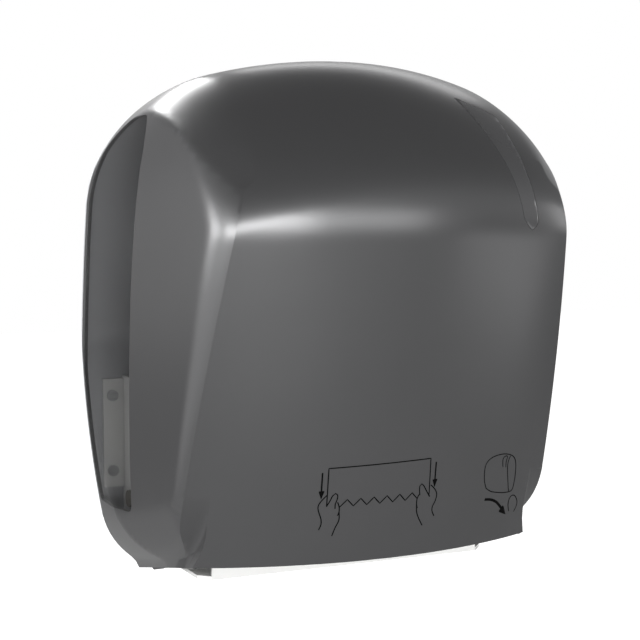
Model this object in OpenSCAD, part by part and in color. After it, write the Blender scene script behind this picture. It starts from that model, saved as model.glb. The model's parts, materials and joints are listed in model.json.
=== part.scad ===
// Wall-mounted roll towel dispenser with a drum that cuts each sheet as it is pulled.
// X runs to the right, -Y is the front, +Z is up. The origin is the centre of the wall screws.
// Depths are measured forward from the wall and heights up from the foot of the arch.

/* [Cover] */
// Width of the arched outline at its widest
arch_w = 330; // [300:1:350]
// Height of the top of the arch
arch_h = 371; // [350:1:400]
// Radius of the arch over the top
top_r = 379; // [340:1:420]
// Radius of the arch along the sides
side_r = 826; // [700:1:1000]
// Height at which the arch is widest
side_z = 202; // [180:1:220]
// Rounding between the top and the sides
shoulder_r = 58; // [45:1:75]
// How far the top draws in at the rear edge
rear_draw = 7.3; // [3:0.1:10]
// Share of that draw on the sides
side_draw = 0.56; // [0.2:0.02:0.9]
// Depth at which the draw ends
draw_d = 82; // [60:1:110]
// Depth of the front at its bend
front_d = 219; // [205:1:230]
// Drop of the front's bend below the top of the arch
bend_drop = 93; // [85:1:110]
// Softness of that bend
bend_soft = 18; // [10:1:25]
// Slope of the front above the bend, back per unit up
upper_lean = 0.44; // [0.3:0.01:0.55]
// Depth of the front at its foot
skirt_d = 158; // [150:1:170]
// Height of that foot
foot_z = 27.8; // [25:0.1:30]
// How evenly the front recedes from the bend to the skirt
recede = 1.13; // [0.9:0.01:1.2]
// Radius of the front's bow across the width
bow_r = 352; // [300:1:420]
// Rounding between the arch and the front
front_r = 92; // [70:1:105]
// Drop below the top of the arch at which that rounding starts to shrink
ease_drop = 66; // [60:1:75]
// Radius of the curve by which it shrinks
ease_r = 20; // [15:1:40]
// Inset of the side panel's plane from the arch at the wall
panel_inset = 2.6; // [0:0.1:6]
// Inward slope of the side panel per unit of depth
panel_slope = 0.173; // [0.15:0.001:0.2]
// Radius of the side panel from top to bottom
panel_r = 2052; // [1600:1:2500]
// Height at which the side panel stands widest
panel_z = 127; // [110:1:150]
// Drop below the top of the arch at which the side panel starts to lean further in
crown_drop = 101; // [90:1:110]
// Radius of that lean at the wall
crown_r = 83; // [75:1:100]
// Depth over which the lean fades
crown_fade = 77; // [65:1:90]
// Rounding of the fold between the side panel and the front, at its widest
fold_r = 36.3; // [28:0.1:42]
// Loss of that rounding per unit of height on the way down
fold_taper = 0.125; // [0.1:0.005:0.13]
// Distance of the widest rounding below the bend
fold_drop = 11; // [0:1:25]
// Step from the front to the fold, as a share of its rounding
fold_step = 0.448; // [0.3:0.002:0.5]
// Drop below the top of the arch at which that step has faded out
step_drop = 59; // [50:1:70]
// Height over which the step fades
step_fade = 60; // [45:1:75]
// Height of the underside at the wall
under_z = 2.7; // [0:0.1:6]
// Rise of the underside per unit of depth
under_slope = 0.26; // [0.18:0.01:0.3]
// Rounding of the bottom corners
corner_r = 47; // [35:1:55]
// Inset of the skirt's sides from the arch
skirt_inset = 45; // [43:0.5:47]
// Height over which the skirt's sides flare out
flare_h = 22; // [19:1:26]
// Radius of that flare
flare_r = 40; // [30:1:60]
// Depth at which the flare starts
flare_d = 40; // [30:1:50]
// Depth over which it grows to its full height
flare_fade = 70; // [60:1:80]
// Height of the skirt's lower edge
skirt_z = 37.5; // [36:0.1:40]
// Drop of the cover's lower edge per unit of depth, from the skirt back to the wall
edge_slope = 0.225; // [0.215:0.005:0.235]
// Hollow between the bottom corner and the skirt
scoop_r = 8; // [5:0.5:12]
// Wall of the cover
cover_wall = 2.5; // [2:0.1:3.5]
// Depth of the cover's rear edge
cover_back = 5.5; // [4.5:0.1:8]

/* [Windows] */
// Depth of the side window's rear edge
window_rear_d = 9; // [8.5:0.5:14]
// Depth of the side window's front edge
window_front_d = 75.5; // [66:0.5:80]
// Height of the side window's lower edge
window_low_z = 65; // [60:1:80]
// Drop of the side window's top below the top of the arch
window_drop = 38; // [37:1:60]
// Gap between a window pane and its opening
pane_gap = 0.15; // [0.1:0.05:0.4]
// Width of the level window at its foot
level_w = 7.5; // [5:0.5:12]
// Drop of the level window's lower end below the top of the arch
level_low_drop = 115.5; // [108:0.5:120]
// Drop of the level window's tip below the top of the arch
level_top_drop = 26; // [24:1:40]
// Distance of the level window's outer edge from the middle
level_x = 85; // [78:1:90]
// How far the level window's inner edge leans in at the tip
level_lean = 22; // [14:1:26]

/* [Wall plate] */
// Height of the middle of the wall screws
screw_z = 215; // [205:1:225]
// Distance between wall screws, across
screw_w = 150; // [130:1:160]
// Distance between wall screws, up
screw_h = 170; // [160:1:175]
// Radius of the wall screw holes
screw_hole_r = 2.75; // [2.25:0.05:3.5]
// Thickness of the back plate
plate_t = 3; // [2.5:0.1:3.2]
// Height of the back plate's lower edge
plate_low_z = 34; // [33:0.5:37]
// Gap between the back plate's edge and the outline of the cover
plate_inset = 1; // [0.5:0.1:2]

/* [Hinge and lock] */
// Depth of the cover's hinge axis
hinge_d = 29; // [28:0.5:31]
// Height of the cover's hinge axis
hinge_z = 19; // [18:0.5:21]
// Radius of the hinge pins
hinge_pin_r = 3; // [2.5:0.1:3.5]
// Outside radius of the hinge knuckles
knuckle_r = 6.5; // [6:0.1:7.5]
// Inset of the hinge pins' inner ends from the arch
hinge_inset = 66; // [62:1:75]
// Length of the back plate's hinge lugs
lug_l = 11; // [8:0.5:13]
// Depth of the lock's axis
lock_d = 84; // [78:1:95]
// Radius of the lock barrel
barrel_r = 7.5; // [6:0.1:9]
// Drop of the lock cam below the top of the arch
cam_drop = 36; // [33:1:42]
// Reach of the lock cam
cam_reach = 24; // [20:0.5:28]
// Width of the lock cam
cam_w = 8; // [6:0.5:9]
// Thickness of the lock cam
cam_t = 4; // [3:0.25:4.5]

/* [Chassis] */
// Inset of the side plates' inner faces from the arch
chassis_inset = 38; // [37:0.5:40]
// Thickness of the side plates
chassis_t = 4; // [3:0.1:4.5]
// Height of the chassis flanges' lower end
flange_low_z = 70; // [66:1:80]
// Height of the chassis flanges' upper end
flange_top_z = 148; // [135:1:160]
// Width of the chassis flanges
flange_w = 15; // [13:0.5:16]
// Height of the side plates' lower edge, clear of the cover's heel as it swings
chassis_low_z = 49.5; // [49:0.5:51]
// Depth at which the side plates' lower edge starts to rise
side_rise_d = 84; // [76:1:88]
// Height of the side plates' lower edge at the exit lip
side_toe_z = 58; // [56:0.5:60]
// Depth of the side plates' front edge
side_front_d = 128; // [127:0.5:129]
// Height of the side plates' front edge at its foot
side_foot_z = 74; // [72:1:78]
// Height of the side plates' front edge at its top
side_front_z = 128; // [122:1:134]
// Depth at which the side plates' upper edge starts to fall
side_fall_d = 60; // [50:1:66]
// Depth at which that fall ends
side_neck_d = 92; // [85:1:100]
// Inset of the exit lip's ends from the side plates
lip_inset = 17; // [15:0.5:20]
// Depth of the exit lip's front edge
lip_d = 105.5; // [100:0.5:107]
// Depth of the exit lip's rear edge
lip_rear_d = 62; // [58:1:70]
// Height of the exit lip's lower face
lip_z = 20.8; // [18:0.1:22]
// Height of the exit lip's upper edge
lip_top_z = 46; // [40:1:47]
// Height of the exit lip's ears
ear_top_z = 68; // [66:0.5:70]
// Height of the fixing of an ear or of the front guide
ear_h = 10; // [8:0.5:12]
// Thickness of the sheet guides
guide_t = 2.5; // [2:0.1:3]
// Drop of the front guide's lower edge below the pinch roller's axis
guide_drop = 9; // [6:0.5:12]
// Rise of the front guide's bend above the pinch roller's axis
guide_rise = 35; // [30:0.5:38]

/* [Drum] */
// Depth of the drum's axis
drum_d = 54; // [52:0.5:56]
// Height of the drum's axis
drum_z = 68; // [66:0.5:72]
// Radius of the drum
drum_r = 40; // [38:0.5:41]
// Wall of the drum
drum_wall = 3.5; // [3:0.1:4]
// Inset of the drum's ends from the side plates
drum_inset = 20; // [19:0.5:22]
// Thickness of the drum's end caps
cap_t = 4; // [3:0.5:5]
// Radius of the drum shaft
shaft_r = 5; // [4:0.1:5.5]
// Outside radius of the shaft bushes
bush_r = 8; // [7:0.1:9]
// Radius of the feed wheel
wheel_r = 27; // [22:0.5:28]
// Width of the feed knob and the feed wheel
wheel_w = 6; // [5:0.5:6.5]
// Running clearance on a radius
run_gap = 0.05; // [0.02:0.01:0.1]
// Gap between pieces that pass each other
side_gap = 0.5; // [0.4:0.1:0.6]

/* [Blade] */
// Distance of the blade's pivot from the drum's axis
pivot_r = 20; // [18:0.5:21]
// Direction of the blade's pivot, turned up from the front
pivot_turn = 45; // [40:1:50]
// Radius of the blade's pivot pin
pivot_pin_r = 2; // [1.5:0.1:2.5]
// Distance of the blade's edge from its pivot
blade_reach = 31.5; // [30.5:0.25:32]
// Thickness of the blade
blade_t = 0.8; // [0.6:0.1:1.2]
// Pitch of the blade's teeth
tooth_pitch = 6; // [4:0.5:8]
// Depth of the blade's teeth
tooth_h = 3; // [2:0.25:4]
// Inset of the blade carrier's ends from the drum's
carrier_inset = 9; // [7:0.5:13]
// Width of the drum's slot for the blade
slot_w = 19; // [18:0.5:20]

/* [Pinch roller] */
// Radius of the pinch roller
pinch_r = 9; // [8:0.25:10]
// Radius of the pinch roller's shaft
pinch_shaft_r = 3; // [2.5:0.1:3.5]
// Direction of the pinch roller, up from the front of the drum
pinch_turn = 20; // [15:1:24]
// Inset of the pinch roller's ends from the drum's
pinch_inset = 3; // [2:0.5:7]
// Gap between the drum's strips and the pinch roller
nip_gap = 0.4; // [0.3:0.05:0.6]
// Height of the drum's rubber strips
strip_h = 0.6; // [0.4:0.1:0.8]

/* [Roll holder] */
// Depth of the roll's axis
roll_d = 103; // [98:0.5:106]
// Drop of the roll's axis below the top of the arch
roll_drop = 121; // [115:0.5:127]
// Distance between the hub flanges
roll_w = 202; // [196:0.5:204]
// Radius of the hubs inside the core
hub_r = 18; // [16:0.25:19]
// Length of the hubs inside the core
hub_l = 12; // [10:0.5:14]
// Thickness of the roll arms
arm_t = 5; // [4:0.25:5.5]
// Depth of the arm pins
arm_pin_d = 14; // [13:0.5:15]
// Radius of the arm pins
arm_pin_r = 2.5; // [2:0.1:2.75]
// Height of the roll arms
arm_h = 30; // [27:0.5:32]

/* [Springs] */
// Wire radius of the return spring
return_wire_r = 0.8; // [0.6:0.05:1]
// Coil radius of the return spring
return_coil_r = 3.4; // [3:0.1:3.6]
// Curls of the return spring
return_curls = 14; // [10:1:16]
// Wire radius of the pinch springs
pinch_wire_r = 0.6; // [0.5:0.05:0.8]
// Coil radius of the pinch springs
pinch_coil_r = 4.2; // [3.5:0.1:4.5]
// Curls of the pinch springs
pinch_curls = 5; // [4:1:6]
// Wire radius of the arm springs
arm_wire_r = 0.6; // [0.5:0.05:0.7]
// Coil radius of the arm springs
arm_coil_r = 4.2; // [4:0.1:4.5]
// Curls of the arm springs
arm_curls = 5; // [4:1:5]

/* [Hidden] */

$fn = 64;
LEFT = -1;
RIGHT = 1;
GREY = [0.37, 0.37, 0.38];
SMOKE = [0.16, 0.16, 0.17];
WHITE = [0.9, 0.9, 0.89];
PALE = [0.72, 0.73, 0.74];
STEEL = [0.68, 0.69, 0.7];
BROWN = [0.44, 0.42, 0.38];
RUBBER = [0.14, 0.14, 0.15];

// Least rounding of the fold, and of the sides with the front
least_fold = 3;
least_front = 30;

// Places tied to the arch
panel_x = arch_w / 2 - panel_inset;
skirt_w = arch_w - 2 * skirt_inset;
ease_z = arch_h - ease_drop;
crown_z = arch_h - crown_drop;
step_z = arch_h - step_drop;
flare_most = 1.25 * flare_h;
// Least distance that tells two surfaces apart
tie = 0.01;
// Room for the flats of the cover's curved faces
flat_gap = 1;
bend_z = arch_h - bend_drop;
fold_z = bend_z - fold_drop;
window_top_z = arch_h - window_drop;
level_low_z = arch_h - level_low_drop;
level_top_z = arch_h - level_top_drop;
hinge_x = arch_w / 2 - hinge_inset;
cam_z = arch_h - cam_drop;
chassis_x = arch_w / 2 - chassis_inset;
drum_x = chassis_x - drum_inset;
lip_x = chassis_x - lip_inset;
carrier_x = drum_x - carrier_inset;
pinch_x = drum_x - pinch_inset;
roll_z = arch_h - roll_drop;

// Rounding of an edge where two faces meet, a hollow between two faces, and a soft bend
function round_max(a, b, r) = min(-r, max(a, b)) + norm([max(r + a, 0), max(r + b, 0)]);
function soft_min(a, b, r) = let (h = max(r - abs(a - b), 0) / r) min(a, b) - h * h * r / 4;

function soft_max(a, b, r) = -soft_min(-a, -b, r);

// Distance of a point in front of the upper and of the lower front face
function bow(x, d) = let (axis_d = bow_r - front_d) norm([x, d + axis_d]) - axis_d;
function upper_gap(x, d, z) = (bow(x, d) - front_d + upper_lean * (z - bend_z)) / norm([1, upper_lean]);
function front_depth(z) =
  let (rise = (z - foot_z) / (bend_z - foot_z))
  skirt_d + (front_d - skirt_d) * (recede * rise + (1 - recede) * rise * rise);
function lower_gap(x, d, z) = bow(x, d) - front_depth(z);
function front_gap(x, d, z) = soft_max(upper_gap(x, d, z), lower_gap(x, d, z), bend_soft);

// Distance of a point outside the arch, the side panels with their folds, and the underside
function pillow_gap(x, d, z) =
  let (
    side = abs(x),
    front = front_gap(x, d, z),
    draw = rear_draw * pow(max(1 - d / draw_d, 0), 2),
    over = norm([side, z - (arch_h - top_r)]) - top_r + draw,
    flank = norm([side - (arch_w / 2 - side_r), z - side_z]) - side_r + side_draw * draw,
    side_front_r = max(front_r - pow(max(ease_z - z, 0), 2) / (2 * ease_r), least_front),
    pillow = max(round_max(round_max(over, flank, shoulder_r), upper_gap(x, d, z), side_front_r),
      round_max(over, front, front_r)),
    bulge = pow(z - panel_z, 2) / (2 * panel_r),
    crown = pow(max(z - crown_z, 0), 2) / (2 * crown_r) * exp(-d / crown_fade),
    panel = (side - (panel_x - panel_slope * d - bulge - crown)) / norm([1, panel_slope]),
    fold = min(max(fold_r - fold_taper * (fold_z - z), least_fold), fold_r),
    fade = min(max((step_z - z) / step_fade, 0), 1),
    step = fold_step * fold * fade * fade * (3 - 2 * fade),
    whole = max(pillow, round_max(panel, front - step, fold)),
    under = under_z + under_slope * d - z,
    flare = pow(min(max(flare_h + under, 0), flare_most), 2) / (2 * flare_r)
      * min(max((d - flare_d) / flare_fade, 0), 1),
    cut = round_max(whole, under, corner_r),
    skirt = max(whole, side - skirt_w / 2 - flare),
    hollow = max(scoop_r * (1 - exp(2 * (whole - cut) / scoop_r)), tie)
  )
  soft_min(cut, skirt, hollow);

// Distance of a point outside the cover's outer surface, below zero inside it
function cover_gap(x, d, z) = max(pillow_gap(x, d, z), front_gap(x, d, z));

// Length along a direction from a start point to the surface that lies depth inside the cover
function reach(p, v, depth, low = 0, high = 450, steps = 18) =
  steps == 0 ? (low + high) / 2 :
  let (m = (low + high) / 2, q = p + m * v)
  cover_gap(q[0], q[1], q[2]) > -depth
    ? reach(p, v, depth, low, m, steps - 1)
    : reach(p, v, depth, m, high, steps - 1);

// The cover is cast as rings round an eye point on its rear plane
eye = [0, cover_back, 190];
// Shares of the turn from the middle of the front to its crease, then from there to the rear edge
front_rings = [0.14, 0.27, 0.39, 0.5, 0.6, 0.69, 0.77, 0.84, 0.9, 0.95, 1];
side_rings = [0.06, 0.13, 0.21, 0.3, 0.4, 0.52, 0.66, 0.8, 0.92, 1];
arch_columns = 64;
skirt_columns = 14;

// Lower edge of the cover at a depth
function edge_z(d) = skirt_z - max(corner_point[1] - d, 0) * edge_slope;
function ray(turn, open) = [cos(turn) * sin(open), cos(open), sin(turn) * sin(open)];
function cast(turn, open, depth) = let (v = ray(turn, open)) eye + v * reach(eye, v, depth);
function below_edge(p) = p[2] < edge_z(p[1]);
function on_front(p) = front_gap(p[0], p[1], p[2]) > pillow_gap(p[0], p[1], p[2]) - tie;

// Turn of the lower edge at an opening angle, and opening angles of the skirt's edge and the crease
function edge_turn(open, low = -85, high = -20, steps = 14) =
  steps == 0 ? (low + high) / 2 :
  let (m = (low + high) / 2)
  below_edge(cast(m, open, 0)) ? edge_turn(open, m, high, steps - 1) : edge_turn(open, low, m, steps - 1);
function skirt_open(turn, low = 10, high = 80, steps = 14) =
  steps == 0 ? (low + high) / 2 :
  let (m = (low + high) / 2)
  below_edge(cast(turn, m, 0)) ? skirt_open(turn, low, m, steps - 1) : skirt_open(turn, m, high, steps - 1);
function crease_open(turn, low = 12, high = 75, steps = 14) =
  steps == 0 ? (low + high) / 2 :
  let (m = (low + high) / 2)
  on_front(cast(turn, m, 0)) ? crease_open(turn, m, high, steps - 1) : crease_open(turn, low, m, steps - 1);

// Lower front corner of the cover, seen from the eye point
function skirt_edge(x) = let (axis_d = bow_r - front_d)
  [x, sqrt(pow(front_depth(skirt_z) + axis_d, 2) - x * x) - axis_d, skirt_z];
function corner_x(low = 90, high = 140, steps = 16) =
  steps == 0 ? (low + high) / 2 :
  let (m = (low + high) / 2, p = skirt_edge(m))
  pillow_gap(p[0], p[1], p[2]) > tie ? corner_x(low, m, steps - 1) : corner_x(m, high, steps - 1);
corner_point = skirt_edge(corner_x());
corner_way = corner_point - eye;
corner_open = acos(corner_way[1] / norm(corner_way));
corner_turn = atan2(corner_way[2], corner_way[0]);

// Inner face of the cover straight out to the side of a point, and straight above it
function inner_x(d, z) = reach([0, d, z], [1, 0, 0], cover_wall);
function inner_z(x, d) = 200 + reach([x, d, 200], [0, 0, 1], cover_wall);

// Rear outline of the cover, drawn in by an inset
function rear_outline(inset, columns = 90) =
  [for (i = [0 : columns - 1])
    let (v = ray(i * 360 / columns, 90), p = eye + v * reach(eye, v, inset)) [p[0], p[2] - screw_z]];

// Derived places
hinge_end = hinge_x + lug_l;
knuckle_end = inner_x(hinge_d, max(hinge_z - knuckle_r, edge_z(hinge_d))) - side_gap;
chassis_out = chassis_x + chassis_t;
strip_r = drum_r + strip_h;
pinch_off = strip_r + nip_gap + pinch_r;
pinch_d = drum_d + pinch_off * cos(pinch_turn);
pinch_z = drum_z + pinch_off * sin(pinch_turn);
arm_x = roll_w / 2 + 2.8 + arm_t / 2;
flange_t = 3;
screw_r = 2;
screw_head_r = 4;
screw_head_t = 2.4;
fork_h = 44;
fork_t = 6;
fork_w = 13;
bracket_screw_x = fork_w / 2 + screw_head_r + 1;
flange_screw_inset = 12;

module at(x, d, z) {
  translate([x, -d, z - screw_z]) children();
}

module on_side(side) {
  if (side == RIGHT) children();
  else mirror([1, 0, 0]) children();
}

module x_rod(r, from, to) {
  translate([from, 0, 0]) rotate([0, 90, 0]) cylinder(r = r, h = to - from);
}

// Slab with its outline in depth and height, from one distance off the middle to another
module x_slab(from, to, outline) {
  translate([from, 0, 0]) rotate([90, 0, 90]) linear_extrude(to - from)
    polygon([for (p = outline) [-p[0], p[1] - screw_z]]);
}

// Slab with its outline in width and height, from one depth to another
module y_slab(from, to, outline) {
  translate([0, -from, 0]) rotate([90, 0, 0]) linear_extrude(to - from)
    polygon([for (p = outline) [p[0], p[1] - screw_z]]);
}

module box(x0, x1, d0, d1, z0, z1) {
  translate([x0, -d1, z0 - screw_z]) cube([x1 - x0, d1 - d0, z1 - z0]);
}

module cover_shell() {
  last = len(front_rings) - 1;
  m = last + 1 + len(side_rings);
  n = arch_columns;
  f = skirt_columns;
  side_opens = [for (g = side_rings) corner_open + (90 - corner_open) * g];
  starts = concat([for (g = front_rings) corner_turn], [for (open = side_opens) edge_turn(open)]);
  turns = [for (i = [0 : n]) corner_turn + (180 - 2 * corner_turn) * i / n];
  creases = [for (i = [0 : n]) i == 0 || i == n ? corner_open : crease_open(turns[i])];
  foot_turns = [for (j = [1 : f - 1]) 180 - corner_turn + (180 + 2 * corner_turn) * j / f];
  foot_opens = [for (turn = foot_turns) skirt_open(turn)];
  function share(k, open) = k <= last ? open * front_rings[k] : open + (90 - open) * side_rings[k - last - 1];
  function skin(depth) = concat(
    [cast(0, 0, depth)],
    [for (k = [0 : m - 1]) for (i = [0 : n])
      cast(starts[k] + (180 - 2 * starts[k]) * i / n, share(k, creases[i]), depth)],
    [for (k = [0 : last]) for (j = [0 : f - 2])
      cast(foot_turns[j], foot_opens[j] * front_rings[k], depth)]);
  half = 1 + m * (n + 1) + (last + 1) * (f - 1);
  function spot(k, c) =
    c == n + f ? spot(k, 0) : c <= n ? 1 + k * (n + 1) + c : 1 + m * (n + 1) + k * (f - 1) + c - n - 1;
  function cell(k, c) = [[spot(k, c), spot(k, c + 1), spot(k + 1, c + 1)],
    [spot(k, c), spot(k + 1, c + 1), spot(k + 1, c)]];
  outer_faces = concat(
    [for (c = [0 : n + f - 1]) [0, spot(0, c + 1), spot(0, c)]],
    [for (k = [0 : m - 2]) for (c = [0 : n - 1]) each cell(k, c)],
    [for (k = [0 : last - 1]) for (c = [n : n + f - 1]) each cell(k, c)]);
  inner_faces = [for (t = outer_faces) [t[2] + half, t[1] + half, t[0] + half]];
  edge = concat(
    [for (c = [0 : n]) spot(m - 1, c)], [for (k = [m - 2 : -1 : last]) spot(k, n)],
    [for (c = [n + 1 : n + f - 1]) spot(last, c)], [for (k = [last : m - 2]) spot(k, 0)]);
  edge_faces = [for (i = [0 : len(edge) - 1]) let (j = (i + 1) % len(edge)) each [
    [edge[i], edge[j], edge[j] + half], [edge[i], edge[j] + half, edge[i] + half]]];
  points = [for (p = concat(skin(0), skin(cover_wall))) [p[0], -p[1], p[2] - screw_z]];
  polyhedron(points, concat(outer_faces, inner_faces, edge_faces));
}

// Outline of the side window, seen from the side
function window_outline(gap) =
  let (rear = window_rear_d + gap, front = window_front_d - gap, top = window_top_z - gap)
  [[rear, window_low_z - 2 + gap], [front, window_low_z + gap], [front, top - 108], [front + 2.5, top - 52],
   [front + 0.5, top - 24], [front - 4, top - 11], [front - 11, top], [rear + 27, top - 1.5],
   [rear + 11, top - 10], [rear + 1.5, top - 20], [rear, top - 52]];

// Outline of the level window, seen from the front
function level_outline(gap) =
  let (edge = level_x - gap, foot = level_x - level_w + gap, top = level_top_z - gap, low = level_low_z + gap)
  [[foot + 7.5, low], [foot, low + 7.5], [foot - level_lean, top], [edge + 0.5, top - 12.5],
   [edge - 0.4, top - 30], [edge, top - 52], [edge + 5, low + 9], [edge + 5.5, low + 4]];

module side_window_space(side, gap) {
  on_side(side) x_slab(chassis_x - 25, arch_w / 2 + 10, window_outline(gap));
}

module level_window_space(gap) {
  y_slab(front_d - 110, front_d + 10, level_outline(gap));
}

module front_cover() {
  color(GREY) difference() {
    cover_shell();
    side_window_space(LEFT, 0);
    side_window_space(RIGHT, 0);
    level_window_space(0);
    at(0, lock_d, inner_z(0, lock_d) - 10) cylinder(r = barrel_r + side_gap, h = 30);
  }
}

module side_window(side) {
  color(SMOKE) intersection() {
    cover_shell();
    side_window_space(side, pane_gap);
  }
}

module level_window() {
  color(SMOKE) intersection() {
    cover_shell();
    level_window_space(pane_gap);
  }
}

module hinge_bracket(side) {
  color(GREY) on_side(side) difference() {
    at(0, hinge_d, hinge_z) x_rod(knuckle_r, hinge_end + side_gap, knuckle_end);
    at(0, hinge_d, hinge_z) x_rod(hinge_pin_r + run_gap, hinge_end, knuckle_end - 3);
  }
}

module hinge_pin(side) {
  color(STEEL) on_side(side) at(0, hinge_d, hinge_z) x_rod(hinge_pin_r, hinge_x - 1, knuckle_end - 3.5);
}

cam_post_r = 3;

module lock_housing() {
  low = cam_z + cam_t + 2;
  color(GREY) difference() {
    at(0, lock_d, low) cylinder(r = barrel_r + 3, h = inner_z(0, lock_d + barrel_r + 3) - side_gap - flat_gap - low);
    at(0, lock_d, low - 1) cylinder(r = barrel_r + run_gap, h = 60);
  }
}

module lock_barrel() {
  low = cam_z + cam_t + 1;
  top = inner_z(0, lock_d) + cover_wall - 1.6;
  color(STEEL) difference() {
    union() {
      at(0, lock_d, low) cylinder(r = barrel_r, h = top - low);
      at(0, lock_d, cam_z - 1) cylinder(r = cam_post_r, h = cam_t + 3);
    }
    at(-barrel_r * 0.7, lock_d + 1, top - 3) cube([barrel_r * 1.4, 2, 5]);
  }
}

module lock_cam() {
  color(STEEL) difference() {
    union() {
      box(-cam_w / 2, cam_w / 2, lock_d - cam_reach, lock_d, cam_z, cam_z + cam_t);
      at(0, lock_d, cam_z) cylinder(r = cam_w / 2, h = cam_t);
    }
    at(0, lock_d, cam_z - 1) cylinder(r = cam_post_r + run_gap / 2, h = cam_t + 2);
  }
}

module lock_strike() {
  near = barrel_r + 5.5;
  far = near + 15;
  front = lock_d + cam_w / 2 + 1;
  color(WHITE) union() {
    box(-far, -near, plate_t, front + 3, cam_z - 9, cam_z - 3);
    box(-far, -near, front, front + 3, cam_z - 9, cam_z + 7);
    box(-far - 6, -near + 6, plate_t, plate_t + 3, cam_z - 22, cam_z + 3);
  }
}

module wall_holes(r) {
  for (x = [-screw_w / 2, screw_w / 2], z = [-screw_h / 2, screw_h / 2])
    translate([x, 1, z]) rotate([90, 0, 0]) cylinder(r = r, h = plate_t + 2);
}

function flange_screws() = [for (side = [LEFT, RIGHT], z = [flange_low_z, flange_top_z])
  [side * (chassis_out + flange_w / 2 + 1),
   z == flange_low_z ? z + flange_screw_inset : z - flange_screw_inset]];
function bracket_screw_places() = [for (side = [LEFT, RIGHT], end = [-1, 1])
  [side * (arm_x - bracket_screw_x), roll_z + end * (fork_h / 2 - 7)]];

module screw_shanks(places, r) {
  for (p = places) at(p[0], 0.5, p[1]) rotate([90, 0, 0]) cylinder(r = r, h = plate_t + flange_t + 1);
}

module back_plate() {
  color(PALE) difference() {
    union() {
      intersection() {
        y_slab_outline(plate_t);
        box(-arch_w, arch_w, 0, plate_t, plate_low_z, arch_h + 10);
      }
      intersection() {
        rim();
        box(-arch_w, arch_w, 0, cover_back, plate_low_z + 20, arch_h + 10);
      }
      for (side = [LEFT, RIGHT]) on_side(side)
        x_slab(hinge_x, hinge_end, [[0, plate_low_z + 14], [0, hinge_z - 5], [hinge_d, hinge_z - knuckle_r],
          [hinge_d + knuckle_r, hinge_z], [hinge_d + knuckle_r - 2, hinge_z + 5], [plate_t, plate_low_z + 14]]);
    }
    wall_holes(screw_hole_r);
    screw_shanks(flange_screws(), screw_r + run_gap);
    screw_shanks(bracket_screw_places(), screw_r + run_gap);
    for (side = [LEFT, RIGHT]) on_side(side)
      at(0, hinge_d, hinge_z) x_rod(hinge_pin_r + run_gap / 2, hinge_x - 2, hinge_end + 2);
  }
}

module y_slab_outline(depth) {
  rotate([90, 0, 0]) linear_extrude(depth) polygon(rear_outline(plate_inset));
}

module rim() {
  rotate([90, 0, 0]) linear_extrude(cover_back - side_gap) difference() {
    polygon(rear_outline(plate_inset));
    polygon(rear_outline(plate_inset + 2.5));
  }
}

module chassis(side) {
  outline = [[plate_t, chassis_low_z], [plate_t, flange_top_z + 2], [side_fall_d, flange_top_z + 2],
    [side_neck_d, side_front_z], [side_front_d, side_front_z], [side_front_d, side_foot_z],
    [lip_d + 1, side_toe_z], [side_rise_d, chassis_low_z]];
  color(WHITE) difference() {
    union() {
      on_side(side) {
        x_slab(chassis_x, chassis_out, outline);
        box(chassis_out - 1, chassis_out + flange_w, plate_t, plate_t + flange_t, flange_low_z, flange_top_z);
        pinch_pocket();
      }
      if (side == LEFT) spring_post();
    }
    on_side(side) at(0, drum_d, drum_z) x_rod(bush_r + run_gap / 2, chassis_x - 1, chassis_out + 1);
    screw_shanks(flange_screws(), screw_r + run_gap);
  }
}

// Pocket that guides a pinch block, turned to point away from the drum
pocket_half = 7;
pocket_gap = 0.2;
pocket_end = 24;
pocket_wall = 3;
pocket_x = chassis_x - 13;

module along_pinch() {
  at(0, pinch_d, pinch_z) rotate([-pinch_turn, 0, 0]) children();
}

module pinch_pocket() {
  reach_out = pocket_end - pocket_wall;
  along_pinch() for (edge = [-1, 1]) {
    low = edge > 0 ? pocket_half + pocket_gap : -pocket_half - pocket_gap - pocket_wall;
    translate([pocket_x, -pocket_end, low]) cube([chassis_x - pocket_x + 1, pocket_end + pocket_half, pocket_wall]);
  }
  along_pinch() translate([pocket_x, -pocket_end, -pocket_half - pocket_gap - 1])
    cube([chassis_x - pocket_x + 1, pocket_end - reach_out, 2 * (pocket_half + pocket_gap + 1)]);
}

module pinch_block(side) {
  color(PALE) on_side(side) along_pinch() difference() {
    translate([pocket_x + 1, -pocket_half, -pocket_half])
      cube([chassis_x - pocket_x - 1 - pocket_gap, 2 * pocket_half, 2 * pocket_half]);
    x_rod(pinch_shaft_r + run_gap, pocket_x, chassis_x + 1);
  }
}

module pinch_shaft() {
  color(STEEL) at(0, pinch_d, pinch_z) x_rod(pinch_shaft_r, -chassis_x + 1, chassis_x - 1);
}

module pinch_roller() {
  color(RUBBER) at(0, pinch_d, pinch_z) rotate([0, 90, 0]) rotate_extrude()
    polygon([[pinch_shaft_r + run_gap / 2, -pinch_x], [pinch_r - 1, -pinch_x], [pinch_r, -pinch_x + 1],
      [pinch_r, pinch_x - 1], [pinch_r - 1, pinch_x], [pinch_shaft_r + run_gap / 2, pinch_x]]);
}

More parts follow.
